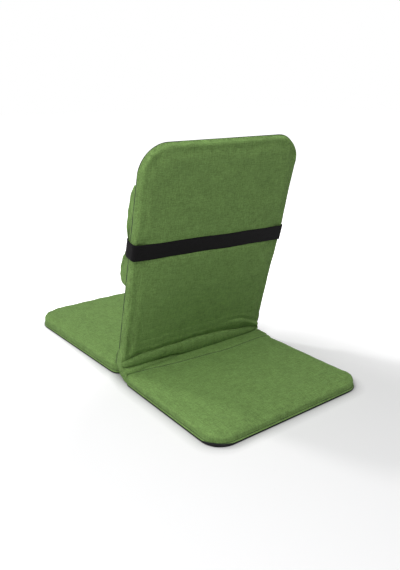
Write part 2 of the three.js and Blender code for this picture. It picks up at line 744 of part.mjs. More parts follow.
// Rear flap: down the back, out over the hinge, in at a deep fold, and along the tail to its seam
function rearFlapPath(rise, seam) {
  const lift = clearance + cloth.flap;
  const slope = (along, out) => new THREE.Vector2(
    along * Math.sin(tilt) + out * Math.cos(tilt),
    hinge.height + along * Math.cos(tilt) - out * Math.sin(tilt));
  const face = (along) => crownAt(back, along) - back.axisHeight + lift;
  const rearFace = back.boxing + back.edge - back.axisHeight;
  const skirt = rise * flapShares.skirt;
  const tailTop = (distance) => new THREE.Vector2(distance, crownAt(tail, distance) + lift);
  const fold = slope(-flap.foldDepth, rearFace + flap.foldOut);
  const rollStart = tail.start + tail.edge;
  return new THREE.CatmullRomCurve3([
    slope(rise + flap.lap, face(rise + flap.lap)),
    slope(rise + flap.lap / 2, face(rise + flap.lap / 2)),
    slope(rise, face(rise)),
    slope(rise / 2, rearFace + lift + skirt * flapShares.skirtMiddle),
    slope(0, rearFace + lift + skirt),
    fold,
    new THREE.Vector2(fold.x + flap.rollOut / 2, fold.y + cloth.flap),
    tailTop(rollStart + flap.rollOut).add(new THREE.Vector2(0, cloth.flap)),
    tailTop((rollStart + flap.rollOut + seam) / 2),
    tailTop(seam)
  ].map((p) => new THREE.Vector3(0, p.x, p.y)), false, 'centripetal');
}

function rearFlap() {
  const half = overHinge(flap.overhang);
  const rises = new THREE.SplineCurve([
    new THREE.Vector2(-half, flap.farRise),
    new THREE.Vector2(-half * flapShares.farMiddle, flap.farMiddleRise),
    new THREE.Vector2(0, flap.middleRise),
    new THREE.Vector2(half * flapShares.nearMiddle, flap.nearMiddleRise),
    new THREE.Vector2(half, flap.nearRise)
  ]);
  const seams = new THREE.SplineCurve([
    new THREE.Vector2(-half, flap.farSeam), new THREE.Vector2(0, flap.middleSeam),
    new THREE.Vector2(half, flap.nearSeam)
  ]);
  const stations = 12;
  const pathSteps = 20;
  const grid = [];
  for (let i = 0; i <= stations; i += 1) {
    const rise = rises.getPoint(i / stations);
    const seam = seams.getPoint(i / stations);
    const path = rearFlapPath(rise.y, seam.y).getPoints(pathSteps);
    grid.push(path.map((p) => p.setX(rise.x)));
  }
  return sheet(grid, cloth.flap);
}

// Hinge gusset: from the seat's edge down between the leaves and up over the tail's edge
function hingeGusset() {
  const lift = clearance + cloth.flap / 2;
  const steps = gussetArcSteps;
  const round = (leaf, hand) => {
    const radius = leaf.edge + lift;
    const points = [];
    for (let step = 0; step <= steps; step += 1) {
      const angle = (Math.PI / 2) * (step / steps);
      points.push(new THREE.Vector2(
        hand * (leaf.start + leaf.edge - radius * Math.sin(angle)),
        leaf.boxing + radius * Math.cos(angle)));
    }
    return points;
  };
  const lip = (leaf, hand) => {
    const distance = leaf.start + leaf.edge + gusset.lip;
    return new THREE.Vector2(hand * distance, crownAt(leaf, distance) + lift);
  };
  const low = tail.boxing - tail.start;
  const path = [
    lip(seat, -1), ...round(seat, -1),
    new THREE.Vector2(0, low),
    ...round(tail, 1).reverse(), lip(tail, 1)
  ];
  const side = tongueSide + gusset.overlap;
  const stations = 8;
  const grid = [];
  for (let i = 0; i <= stations; i += 1) {
    const x = THREE.MathUtils.lerp(-side, side, i / stations);
    const wave = gusset.wave * Math.sin(i * Math.PI / 2);
    grid.push(path.map((p, j) => new THREE.Vector3(
      x, p.x, p.y + (j > 0 && j < path.length - 1 ? Math.abs(wave) : 0))));
  }
  return sheet(grid, cloth.flap);
}

// Side gusset: puckered cloth over the rivet's head that closes the hinge corner at one side
function sideGussetSheet(hand) {
  const rows = 8;
  const columns = 6;
  const top = hinge.height + sideGusset.radius;
  const rivetFace = hinge.side + caseFace + clearance + pivot.head;
  const offset = rivetFace + clearance + sideGusset.pucker + cloth.flap / 2;
  const grid = [];
  for (let r = 0; r <= rows; r += 1) {
    const z = THREE.MathUtils.lerp(cloth.baseRim + clearance, top, r / rows);
    const above = Math.max(z - hinge.height, 0);
    const reach = Math.sqrt(sideGusset.radius ** 2 - above ** 2);
    const half = Math.max(Math.min(reach, sideGusset.halfDepth), sideGusset.pucker);
    const rear = z < tail.boxing + tail.edge ? tail.notch - clearance : half;
    const row = [];
    for (let c = 0; c <= columns; c += 1) {
      const y = THREE.MathUtils.lerp(-half, rear, c / columns);
      const pucker = sideGusset.pucker * Math.sin((r + c) * Math.PI / 2);
      row.push(new THREE.Vector3(hand * (offset + pucker), y, z));
    }
    grid.push(row);
  }
  return sheet(grid, cloth.flap);
}

// Places leaf space in the chair: x across, y out from the hinge, z off the leaf's inner face
function leafSpace(parent, leafAxes, origin) {
  const space = new THREE.Group();
  const matrix = new THREE.Matrix4().makeBasis(...leafAxes).setPosition(origin);
  matrix.decompose(space.position, space.quaternion, space.scale);
  parent.add(space);
  return space;
}

function buildChair() {
  const root = new THREE.Group();
  const chair = new THREE.Group();
  chair.position.y = (seat.length - tail.length) / 2;
  root.add(chair);

  const across = new THREE.Vector3(1, 0, 0);
  const rearwards = new THREE.Vector3(0, 1, 0);
  const upwards = new THREE.Vector3(0, 0, 1);
  const origin = new THREE.Vector3();
  const tailSpace = leafSpace(chair, [across, rearwards, upwards], origin);
  const seatSpace = leafSpace(chair, [reversed(across), reversed(rearwards), upwards], origin);
  const backSpace = new THREE.Group();
  backSpace.position.z = hinge.height;
  backSpace.rotation.x = -tilt;
  chair.add(backSpace);
  const backLeaf = leafSpace(backSpace, [reversed(across), upwards, rearwards],
    new THREE.Vector3(0, -back.axisHeight, 0));

  const armTop = tail.frameHeight + hinge.armWidth / 2 + clearance;
  addPiece(tailSpace, 'tail_frame', frameTube(tail, frameLegSide), 'painted');
  addPiece(tailSpace, 'tail_cross_tube', crossTube(tail, frameLegSide), 'painted');
  addPiece(tailSpace, 'tail_foam', leafFoam(tail, frameLegSide, false), 'foam');
  addPiece(tailSpace, 'tail_cover', leafCover(tail,
    armSlots(tail, frameLegSide, caseFace, -cutOverrun, armTop)), 'green');
  addPiece(tailSpace, 'tail_base_cloth', baseCloth(tail), 'black');

  addPiece(seatSpace, 'seat_frame', frameTube(seat, seatLegSide), 'painted');
  addPiece(seatSpace, 'seat_cross_tube', crossTube(seat, seatLegSide), 'painted');
  addPiece(seatSpace, 'seat_foam', leafFoam(seat, seatLegSide, false), 'foam');
  addPiece(seatSpace, 'seat_cover', leafCover(seat,
    armSlots(seat, seatLegSide, hinge.seatPlate / 2, -cutOverrun, armTop)), 'green');
  addPiece(seatSpace, 'seat_base_cloth', baseCloth(seat), 'black');

  const ratchetTop = back.frameHeight + hinge.armWidth / 2 + clearance;
  addPiece(backLeaf, 'back_frame', frameTube(back, frameLegSide), 'painted');
  addPiece(backLeaf, 'back_cross_tube', crossTube(back, frameLegSide), 'painted');
  addPiece(backLeaf, 'back_foam', leafFoam(back, frameLegSide, true), 'foam');
  addPiece(backLeaf, 'back_rear_cover', leafCover(back,
    armSlots(back, frameLegSide, hinge.ratchetPlate / 2, -cutOverrun, ratchetTop)), 'darkGreen');
  addPiece(backLeaf, 'back_front_cover', frontPanel(back), 'green');

  clickHinge(chair, backSpace, 'left', 1);
  clickHinge(chair, backSpace, 'right', -1);

  const strapRear = back.boxing + back.edge + back.crown - back.axisHeight + clearance;
  const cushionRear = -(back.axisHeight + back.frontCrown + cloth.cover + 2 * clearance);
  addPiece(backSpace, 'lumbar_cushion', lumbarCushion(cushionRear), 'green');
  addPiece(backSpace, 'lumbar_strap', lumbarStrap(strapRear, cushionRear), 'webbing');

  addPiece(chair, 'rear_flap', rearFlap(), 'green');
  addPiece(chair, 'hinge_gusset', hingeGusset(), 'green');
  addPiece(chair, 'left_side_gusset', sideGussetSheet(1), 'green');
  addPiece(chair, 'right_side_gusset', sideGussetSheet(-1), 'green');
  return root;
}

export default buildChair();
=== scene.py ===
# Folding floor chair: soft forms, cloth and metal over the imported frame, in metres.
import json
import math

import bmesh
import bpy
import numpy as np
from mathutils import Matrix, Vector
from mathutils.bvhtree import BVHTree
from mathutils.geometry import delaunay_2d_cdt


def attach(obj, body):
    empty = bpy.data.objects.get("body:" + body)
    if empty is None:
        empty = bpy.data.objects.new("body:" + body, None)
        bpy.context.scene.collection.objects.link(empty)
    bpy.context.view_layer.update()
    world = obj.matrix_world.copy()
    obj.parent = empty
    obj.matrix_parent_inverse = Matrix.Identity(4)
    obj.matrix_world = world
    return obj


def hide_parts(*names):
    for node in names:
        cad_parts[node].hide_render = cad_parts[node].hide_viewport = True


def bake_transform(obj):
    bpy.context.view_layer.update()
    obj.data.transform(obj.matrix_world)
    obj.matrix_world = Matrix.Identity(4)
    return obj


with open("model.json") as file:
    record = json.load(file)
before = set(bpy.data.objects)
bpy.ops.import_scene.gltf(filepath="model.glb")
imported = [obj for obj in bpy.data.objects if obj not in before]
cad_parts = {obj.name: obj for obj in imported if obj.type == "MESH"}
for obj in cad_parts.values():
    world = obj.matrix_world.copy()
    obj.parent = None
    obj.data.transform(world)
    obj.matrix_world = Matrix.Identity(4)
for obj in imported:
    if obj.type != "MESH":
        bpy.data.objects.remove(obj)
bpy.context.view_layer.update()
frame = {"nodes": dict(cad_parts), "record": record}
scene = bpy.context.scene

# Camera, fitted to the photograph at 400 by 570
CAMERA_AT = Vector((0.7976, 1.1307, 0.6366))
CAMERA_YAW = math.radians(-127.34)
CAMERA_PITCH = math.radians(-18.58)
CAMERA_LENS = 37.77

# Hinge axis and lean of the back
HINGE = np.array([0.0, 0.0505, 0.038])
TILT = math.radians(14.6)
UP = np.array([0.0, math.sin(TILT), math.cos(TILT)])
REARWARD = np.array([0.0, math.cos(TILT), -math.sin(TILT)])
ACROSS = np.array([1.0, 0.0, 0.0])
AXIS_HEIGHT = 0.008

# Leaves: x across, y out from the hinge, z up from the leaf's inner face
SEAT = dict(start=0.005, length=0.457, far=0.2115, near=0.200, far_corner=0.070,
            near_corner=0.026, top=0.026, edge=0.0075, crown=0.0035, notch=0.020, tongue=0.174)
TAIL = dict(start=0.005, length=0.356, far=0.2095, near=0.206, far_corner=0.045,
            near_corner=0.022, top=0.022, edge=0.0065, crown=0.0035, notch=0.020, tongue=0.174)
BACK = dict(start=-0.009, length=0.511, far=0.207, near=0.205, far_corner=0.062,
            near_corner=0.008, top=0.022, edge=0.006, crown=0.0022, notch=0.020, tongue=0.174)
LEAF_SPACING = 0.0062
HEM = 0.0062

# Back pad: its front face is crowned, so the seam round its side lies behind the front
BACK_SEAM = 0.0052
BACK_CROWN = 0.0054

# Strap and lumbar cushion; the strap climbs across by its rise
STRAP_WIDTH = 0.036
STRAP_HEIGHT = 0.283
STRAP_RISE = 0.04
LUMBAR = dict(half=0.203, bottom=0.187, height=0.231, lower=0.048, waist=0.027, end_waist=0.012,
              full_side=0.110, upper=0.039, end_round=0.011)
CUSHION_GAP = 0.0033
END_SETBACK = 0.0045

# Swelling of the pads under pressure: how far a point may move, and how much less near the hinge
PAD_PRESSURE = 3.0
FLOOR_SWELL = 0.0030
TAIL_HINGE_EASE = 0.0020
BACK_SWELL = 0.0028
BACK_HINGE_EASE = 0.0018
CUSHION_SWELL = 0.0050

# Heights of the slack in the pads' cloth: gathers at the sides, waves over a panel and by its rim
GATHER = 0.0005
PANEL_WAVE = 0.0009
FLOOR_RIM_WAVE = 0.0006
BACK_RIM_WAVE = 0.0005

# The back pad gives way at its rear, where it lies down on the tail, and thins out at the hinge
BACK_RELIEF = 0.0022
BACK_THINNING = 0.62

# Slack cloth at the hinge, and the corner cloth's place across on the pads and inside the hinge
CLOTH_HALF = 0.2035
CLOTH_THICKNESS = 0.0010
CORNER_OUT = 0.2052
CORNER_IN = 0.170


# Small helpers
def smooth(low, high, value):
    t = np.clip((value - low) / (high - low), 0.0, 1.0)
    return t * t * (3 - 2 * t)


def waves(points, seed, count=7, low=18.0, high=60.0):
    """Smooth seeded undulation between about -1 and 1 at points of any dimension."""
    rng = np.random.default_rng(seed)
    points = np.asarray(points, float)
    total = np.zeros(len(points))
    for _ in range(count):
        direction = rng.normal(size=points.shape[1])
        direction /= np.linalg.norm(direction)
        frequency = rng.uniform(low, high)
        total += np.sin(points @ direction * frequency + rng.uniform(0, 2 * math.pi))
    return total / math.sqrt(count) / 1.4


def new_object(name, vertices, faces, material, matrix=None):
    mesh = bpy.data.meshes.new(name)
    mesh.from_pydata([tuple(map(float, v)) for v in vertices], [], [list(map(int, f)) for f in faces])
    mesh.validate()
    mesh.polygons.foreach_set("use_smooth", [True] * len(mesh.polygons))
    mesh.materials.append(material)
    obj = bpy.data.objects.new(name, mesh)
    scene.collection.objects.link(obj)
    if matrix is not None:
        obj.matrix_world = matrix
    bpy.context.view_layer.update()
    return obj


def coordinates(obj):
    co = np.empty(len(obj.data.vertices) * 3)
    obj.data.vertices.foreach_get("co", co)
    return co.reshape(-1, 3)


def set_coordinates(obj, co):
    obj.data.vertices.foreach_set("co", np.ascontiguousarray(co).ravel())
    obj.data.update()


def outward(obj):
    """Turns every face of a closed mesh outwards."""
    bm = bmesh.new()
    bm.from_mesh(obj.data)
    bmesh.ops.recalc_face_normals(bm, faces=bm.faces)
    bm.to_mesh(obj.data)
    bm.free()


def subdivide(obj, levels=1):
    mod = obj.modifiers.new("Subdivision", "SUBSURF")
    mod.levels = levels
    mod.render_levels = levels
    depsgraph = bpy.context.evaluated_depsgraph_get()
    mesh = bpy.data.meshes.new_from_object(obj.evaluated_get(depsgraph))
    obj.modifiers.remove(mod)
    obj.data = mesh


def strip_faces(rows, count, closed=False):
    """Quads between neighbouring loops of points; closed joins the last loop to the first."""
    faces = []
    for k in range(rows if closed else rows - 1):
        following = (k + 1) % rows
        for i in range(count):
            j = (i + 1) % count
            faces.append((k * count + i, k * count + j, following * count + j, following * count + i))
    return faces


def cap_faces(triangles, rim, count, inner):
    """Triangles of a filled outline, whose own points start at rim and whose filling starts at inner."""
    return [tuple(rim + i if i < count else inner + i - count for i in t) for t in triangles]


def rounded(tip, before, after, radius, steps):
    """Points of the arc that rounds a corner between two edge directions."""
    turn = math.acos(np.clip(before @ after, -1, 1))
    first = tip - before * radius * math.tan(turn / 2)
    side = math.copysign(1.0, before[0] * after[1] - before[1] * after[0])
    centre = first + np.array([-before[1], before[0]]) * side * radius
    arm = first - centre
    points = []
    for step in range(steps + 1):
        a = side * turn * step / steps
        points.append(centre + np.array([arm[0] * math.cos(a) - arm[1] * math.sin(a),
                                         arm[0] * math.sin(a) + arm[1] * math.cos(a)]))
    return points


def surface_tree(obj):
    vertices = [obj.matrix_world @ v.co for v in obj.data.vertices]
    return BVHTree.FromPolygons(vertices, [tuple(p.vertices) for p in obj.data.polygons])


# Materials
def add_node(tree, kind, values=(), links=(), **settings):
    """Adds a node with its settings, the values of its sockets and what is linked to them."""
    node = tree.nodes.new(kind)
    for key, value in settings.items():
        setattr(node, key, value)
    for socket, value in dict(values).items():
        node.inputs[socket].default_value = value
    for socket, source in dict(links).items():
        tree.links.new(source, node.inputs[socket])
    return node


def maths(tree, operation, a, b):
    """A math node on two terms, each a number or a socket."""
    terms = list(enumerate((a, b)))
    numbers = {i: term for i, term in terms if isinstance(term, (int, float))}
    sockets = {i: term for i, term in terms if i not in numbers}
    return add_node(tree, "ShaderNodeMath", numbers, sockets, operation=operation).outputs[0]


class Nodes:
    """Builds a node tree by short calls."""

    def __init__(self, name):
        self.material = bpy.data.materials.new(name)
        self.material.use_nodes = True
        self.tree = self.material.node_tree
        self.tree.nodes.clear()
        self.out = self.add("ShaderNodeOutputMaterial")
        self.shader = self.add("ShaderNodeBsdfPrincipled")
        self.link(self.shader.outputs["BSDF"], self.out.inputs["Surface"])
        self.coords = self.add("ShaderNodeTexCoord").outputs["Object"]

    def add(self, kind, values=(), links=(), **settings):
        return add_node(self.tree, kind, values, links, **settings)

    def link(self, a, b):
        self.tree.links.new(a, b)

    def scaled(self, x, y, z):
        return self.add("ShaderNodeMapping", {"Scale": (x, y, z)}, {"Vector": self.coords}).outputs["Vector"]

    def noise(self, scale, detail=2.0, roughness=0.5, vector=None):
        values = {"Scale": scale, "Detail": detail, "Roughness": roughness}
        return self.add("ShaderNodeTexNoise", values, {"Vector": vector or self.coords}).outputs["Fac"]

    def thread(self, axis, period):
        """Threads side by side along an axis; the wave texture has 20 / 2 pi bands to a unit of scale."""
        values = {"Scale": 2 * math.pi / (20 * period), "Distortion": 0.6, "Detail": 1.0, "Detail Scale": 1.5}
        return self.add("ShaderNodeTexWave", values, {"Vector": self.coords},
                        wave_type="BANDS", bands_direction=axis).outputs["Fac"]

    def math(self, operation, a, b):
        return maths(self.tree, operation, a, b)

    def remap(self, value, low, high, to_low, to_high):
        values = {"From Min": low, "From Max": high, "To Min": to_low, "To Max": to_high}
        return self.add("ShaderNodeMapRange", values, {"Value": value}).outputs["Result"]

    def ramp(self, value, stops):
        node = self.add("ShaderNodeValToRGB", links={"Fac": value})
        ramp = node.color_ramp
        ramp.elements[0].position, ramp.elements[0].color = stops[0][0], (*stops[0][1], 1)
        ramp.elements[1].position, ramp.elements[1].color = stops[-1][0], (*stops[-1][1], 1)
        for position, colour in stops[1:-1]:
            ramp.elements.new(position).color = (*colour, 1)
        return node.outputs["Color"]

    def colour(self, value):
        self.link(value, self.shader.inputs["Base Color"])

    def surface(self, **values):
        """Sets the shader's own values, by their names with _ for a space."""
        for name, value in values.items():
            self.shader.inputs[name.replace("_", " ")].default_value = value

    def bump(self, height, distance, strength=1.0, after=None):
        links = {"Height": height}
        if after is not None:
            links["Normal"] = after
        node = self.add("ShaderNodeBump", {"Distance": distance, "Strength": strength}, links)
        self.link(node.outputs["Normal"], self.shader.inputs["Normal"])
        return node.outputs["Normal"]


def shade(colour, factor):
    """A colour made lighter or darker, up to full."""
    return tuple(min(1.0, c * factor) for c in colour)


def woven_cloth(name, colour, thread=0.0011, sheen=0.10):
    """Plain weave canvas: crossing threads, slubs along both directions, faint cloudiness."""
    n = Nodes(name)
    crossing = n.math("MULTIPLY", n.thread("X", thread), n.thread("Y", thread))
    crossing = n.math("ADD", crossing, n.math("MULTIPLY", n.thread("Y", thread), n.thread("Z", thread)))
    crossing = n.math("ADD", crossing, n.math("MULTIPLY", n.thread("X", thread), n.thread("Z", thread)))
    weave = n.math("MULTIPLY", crossing, 0.5)
    slub_x = n.noise(1.0, 3.0, 0.6, n.scaled(70, 420, 420))
    slub_y = n.noise(1.0, 3.0, 0.6, n.scaled(420, 70, 70))
    slubs = n.math("MULTIPLY", n.math("ADD", slub_x, slub_y), 0.5)
    cloud = n.noise(26.0, 3.0, 0.55)
    grain = n.noise(430.0, 3.0, 0.75)
    value = n.math("ADD", n.remap(slubs, 0.38, 0.62, -1.1, 1.1), n.remap(cloud, 0.35, 0.65, -0.22, 0.22))
    value = n.math("ADD", value, n.remap(grain, 0.35, 0.65, -1.1, 1.1))
    value = n.math("ADD", value, n.remap(weave, 0.0, 1.0, -0.35, 0.35))
    level = n.remap(value, -2.2, 2.2, 0.0, 1.0)
    n.colour(n.ramp(level, [(0.0, shade(colour, 0.58)), (0.5, colour), (1.0, shade(colour, 1.42))]))
    n.surface(Roughness=0.9, Specular_IOR_Level=0.2, Sheen_Weight=sheen, Sheen_Roughness=0.45,
              Sheen_Tint=(*shade(colour, 2.2), 1))
    first = n.bump(weave, 0.0004, 0.7)
    n.bump(slubs, 0.0009, 0.5, first)
    return n.material


def base_cloth(name):
    """Close black cloth of the floor side, a little grey in patches."""
    n = Nodes(name)
    weave = n.math("MULTIPLY", n.thread("X", 0.0009), n.thread("Y", 0.0009))
    dust = n.noise(60.0, 4.0, 0.65)
    level = n.math("ADD", n.math("MULTIPLY", weave, 0.4), n.remap(dust, 0.3, 0.75, 0.0, 0.6))
    n.colour(n.ramp(level, [(0.0, (0.004, 0.004, 0.005)), (0.6, (0.011, 0.011, 0.012)),
                            (1.0, (0.028, 0.028, 0.029))]))
    n.surface(Roughness=0.8, Specular_IOR_Level=0.25)
    n.bump(weave, 0.0004, 0.6)
    return n.material


def webbing_cloth(name):
    """Black webbing: fine ribs across and along, with some fuzz."""
    n = Nodes(name)
    ribs = n.thread("X", 0.0016)
    warp = n.thread("Z", 0.0022)
    weave = n.math("ADD", n.math("MULTIPLY", ribs, 0.7), n.math("MULTIPLY", warp, 0.3))
    fuzz = n.noise(300.0, 3.0, 0.6)
    level = n.math("ADD", n.math("MULTIPLY", weave, 0.5), n.remap(fuzz, 0.3, 0.7, 0.0, 0.4))
    n.colour(n.ramp(level, [(0.0, (0.0026, 0.0022, 0.0026)), (0.6, (0.0058, 0.0052, 0.0058)),
                            (1.0, (0.013, 0.012, 0.013))]))
    n.surface(Roughness=0.8, Specular_IOR_Level=0.12)
    n.bump(weave, 0.0005, 0.8)
    return n.material


def thread_material(name, colour):
    """Fine speckle, for stitching and for the cells of foam."""
    n = Nodes(name)
    twist = n.noise(900.0, 2.0, 0.5)
    n.colour(n.ramp(twist, [(0.3, shade(colour, 0.7)), (0.7, shade(colour, 1.3))]))
    n.surface(Roughness=0.7)
    n.bump(twist, 0.0002, 0.5)
    return n.material


def painted_steel(name, colour):
    """Powder-coated tube: fine orange peel, rubbed brighter in patches."""
    n = Nodes(name)
    peel = n.noise(900.0, 2.0, 0.5)
    wear = n.noise(35.0, 5.0, 0.7)
    n.colour(n.ramp(wear, [(0.45, colour), (0.72, shade(colour, 1.9)), (0.8, (0.16, 0.155, 0.15))]))
    n.surface(Metallic=0.3)
    n.link(n.remap(wear, 0.3, 0.8, 0.36, 0.55), n.shader.inputs["Roughness"])
    n.bump(peel, 0.0001, 0.35)
    return n.material


def bare_steel(name, colour, roughness):
    """Rolled steel: drawn lines one way, with faint stains."""
    n = Nodes(name)
    lines = n.noise(1.0, 4.0, 0.7, n.scaled(400, 60, 2600))
    stain = n.noise(70.0, 4.0, 0.6)
    level = n.math("ADD", n.math("MULTIPLY", lines, 0.6), n.math("MULTIPLY", stain, 0.4))
    n.colour(n.ramp(level, [(0.3, shade(colour, 0.75)), (0.55, colour), (0.75, shade(colour, 1.15))]))
    n.surface(Metallic=0.9)
    n.link(n.remap(level, 0.3, 0.7, roughness - 0.08, roughness + 0.14), n.shader.inputs["Roughness"])
    n.bump(lines, 0.0001, 0.3)
    return n.material


GREEN = (0.166, 0.281, 0.081)
cover_material = woven_cloth("green_canvas", GREEN)
# stitching whose dark green is painted shade: it draws the shaded groove of each seam as a dark line
seam_painted_shade_material = thread_material("seam_thread_painted_shade", (0.016, 0.036, 0.009))
base_material = base_cloth("black_base_cloth")
webbing_material = webbing_cloth("black_webbing")
frame_material = painted_steel("black_powder_coat", (0.026, 0.026, 0.028))
zinc_material = bare_steel("zinc_plate", (0.52, 0.53, 0.54), 0.34)
spring_material = bare_steel("spring_steel", (0.22, 0.22, 0.23), 0.3)
foam_material = thread_material("foam_cells", (0.62, 0.6, 0.5))

METALS = {"frame_steel": frame_material, "hinge_steel": zinc_material,
          "spring_steel": spring_material, "foam": foam_material}
for part in frame["record"]["subparts"]:
    if part["material_slot"] in METALS:
        node = frame["nodes"][part["node"]]
        node.data.materials.clear()
        node.data.materials.append(METALS[part["material_slot"]])


# Leaf outlines
def ring(leaf, inset, spacing=LEAF_SPACING):
    """Points round a leaf's outline, drawn in by inset, in the same order and number for every inset."""
    far, near, tongue = leaf["far"], leaf["near"], leaf["tongue"]
    start, notch, end = leaf["start"], leaf["notch"], leaf["length"]
    near_corner, far_corner = leaf["near_corner"], leaf["far_corner"]
    corners = [(-tongue, start, 0.005, 3), (tongue, start, 0.005, 3), (tongue, notch, 0.005, 3),
               (near, notch, near_corner, 5), (far, end, far_corner, 16),
               (-far, end, far_corner, 16), (-near, notch, near_corner, 5),
               (-tongue, notch, 0.005, 3)]
    at = np.array([c[:2] for c in corners])
    count = len(corners)
    directions = np.roll(at, -1, axis=0) - at
    lengths = np.linalg.norm(directions, axis=1)
    directions /= lengths[:, None]
    inwards = np.stack([-directions[:, 1], directions[:, 0]], axis=1)
    arcs = []
    for i, (_, _, radius, steps) in enumerate(corners):
        before, after = directions[i - 1], directions[i]
        bend = before[0] * after[1] - before[1] * after[0]
        from_before = at[i - 1] + inwards[i - 1] * inset
        from_after = at[i] + inwards[i] * inset
        gap = from_after - from_before
        tip = from_before + before * ((gap[0] * after[1] - gap[1] * after[0]) / bend)
        size = max(radius - inset, 0.0004) if bend > 0 else radius + inset
        arcs.append(np.array(rounded(tip, before, after, size, steps)))
    outline = []
    for i, arc in enumerate(arcs):
        outline.extend(arc)
        following = arcs[(i + 1) % count][0]
        pieces = max(1, int(round(lengths[i] / spacing)))
        for k in range(1, pieces):
            outline.append(arc[-1] + (following - arc[-1]) * k / pieces)
    return np.array(outline)


def distance_to(boundary, points):
    """Distance of each point from the nearest point of an outline."""
    return np.array([np.min(np.linalg.norm(boundary - p, axis=1)) for p in points])


def fill(boundary, spacing):
    """Triangles inside a closed outline: points of a hexagonal grid joined to the outline."""
    low, high = boundary.min(axis=0), boundary.max(axis=0)
    rows = int((high[1] - low[1]) / (spacing * 0.866)) + 1
    columns = int((high[0] - low[0]) / spacing) + 2
    grid = []
    for r in range(rows):
        for c in range(columns):
            grid.append((low[0] + (c + 0.5 * (r % 2)) * spacing, low[1] + r * spacing * 0.866))
    grid = np.array(grid)
    following = np.roll(boundary, -1, axis=0)
    crossings = np.zeros(len(grid), int)
    for a, b in zip(boundary, following):
        if a[1] == b[1]:
            continue
        between = (grid[:, 1] >= min(a[1], b[1])) & (grid[:, 1] < max(a[1], b[1]))
        x = a[0] + (grid[:, 1] - a[1]) * (b[0] - a[0]) / (b[1] - a[1])
        crossings += between & (grid[:, 0] < x)
    inside = grid[crossings % 2 == 1]
    inside = inside[distance_to(boundary, inside) > spacing * 0.55]
    points = np.vstack([boundary, inside])
    edges = [(i, (i + 1) % len(boundary)) for i in range(len(boundary))]
    _, _, faces, origins, _, _ = delaunay_2d_cdt([Vector(p) for p in points], edges, [], 1, 1e-7)
    place = [o[0] if o else len(points) for o in origins]
    triangles = [tuple(place[i] for i in f) for f in faces]
    return inside, [t for t in triangles if max(t) < len(points)]


def leaf_pad(name, leaf, profile, under, material, matrix, crown_reach=0.035, valley=0.0,
             spacing=LEAF_SPACING):
    """Closed pad: side rings by (inset, height), a crowned top, an underside as deep as under() says."""
    rings = [ring(leaf, inset) for inset, _ in profile]
    count = len(rings[0])
    vertices = [np.column_stack([r, np.full(count, height)]) for r, (_, height) in zip(rings, profile)]
    faces = strip_faces(len(rings), count)
    total = len(rings) * count
    top, top_faces = fill(rings[-1], spacing)
    from_rim = distance_to(rings[-1], top)
    rise = leaf["crown"] * (1 - np.exp(-from_rim / crown_reach))
    rise -= valley * np.exp(-((from_rim - 0.009) / 0.008) ** 2)
    vertices.append(np.column_stack([top, profile[-1][1] + rise]))
    faces += cap_faces(top_faces, total - count, count, total)
    total += len(top)
    low, low_faces = fill(rings[0], spacing * 1.6)
    depth = under(low, distance_to(rings[0], low))
    vertices.append(np.column_stack([low, profile[0][1] - depth]))
    faces += cap_faces(low_faces, 0, count, total)
    obj = new_object(name, np.vstack(vertices), faces, material, matrix)
    outward(obj)
    obj["rings"] = len(rings)
    obj["count"] = count
    obj["top"] = len(top)
    return obj


def inflate(obj, hold, pressure=4.0, cap=0.005, steps=20, stiffness=14.0, bending=0.6):
    """Swells a closed pad as cloth under pressure, each point by no more than its cap."""
    rest = coordinates(obj)
    group = obj.vertex_groups.new(name="hold")
    for index, weight in enumerate(hold):
        if weight > 0:
            group.add([index], float(weight), "REPLACE")
    mod = obj.modifiers.new("Cloth", "CLOTH")
    cloth = mod.settings
    cloth.quality = 5
    cloth.mass = 0.25
    cloth.air_damping = 2.0
    cloth.tension_stiffness = stiffness
    cloth.compression_stiffness = stiffness
    cloth.shear_stiffness = stiffness * 0.4
    cloth.bending_stiffness = bending
    cloth.use_pressure = True
    cloth.uniform_pressure_force = pressure
    cloth.effector_weights.gravity = 0.0
    cloth.vertex_group_mass = "hold"
    mod.collision_settings.use_collision = False
    mod.point_cache.frame_start = 1
    mod.point_cache.frame_end = steps
    for step in range(1, steps + 1):
        scene.frame_set(step)
    depsgraph = bpy.context.evaluated_depsgraph_get()
    moved = coordinates(obj.evaluated_get(depsgraph))
    obj.modifiers.remove(mod)
    obj.vertex_groups.remove(group)
    scene.frame_set(1)
    shift = moved - rest
    length = np.linalg.norm(shift, axis=1)
    limit = np.broadcast_to(cap, length.shape)
    share = np.where(length > limit, limit / np.maximum(length, 1e-9), 1.0)
    set_coordinates(obj, rest + shift * share[:, None])


def leaf_matrix(across, out, up, origin):
    """Placement of a piece whose own axes are given, each as a direction in the frame."""
    m = Matrix.Identity(4)
    for i in range(3):
        m[i][0], m[i][1], m[i][2], m[i][3] = across[i], out[i], up[i], origin[i]
    return m


FLOOR_POINT = np.array([0.0, HINGE[1], 0.0])
OUT = np.array([0.0, 1.0, 0.0])
TALL = np.array([0.0, 0.0, 1.0])
tail_matrix = leaf_matrix(ACROSS, OUT, TALL, FLOOR_POINT)
seat_matrix = leaf_matrix(-ACROSS, -OUT, TALL, FLOOR_POINT)
back_matrix = leaf_matrix(-ACROSS, UP, REARWARD, HINGE - REARWARD * AXIS_HEIGHT)
upright_matrix = leaf_matrix(ACROSS, REARWARD, UP, HINGE)


# Seat and tail pads
def edge_arc(top, radius, steps=5):
    """Rounded top edge of a pad as (inset, height), from the widest place up."""
    angles = [math.pi / 2 * step / steps for step in range(steps + 1)]
    return [(radius * (1 - math.cos(a)), top - radius + radius * math.sin(a)) for a in angles]


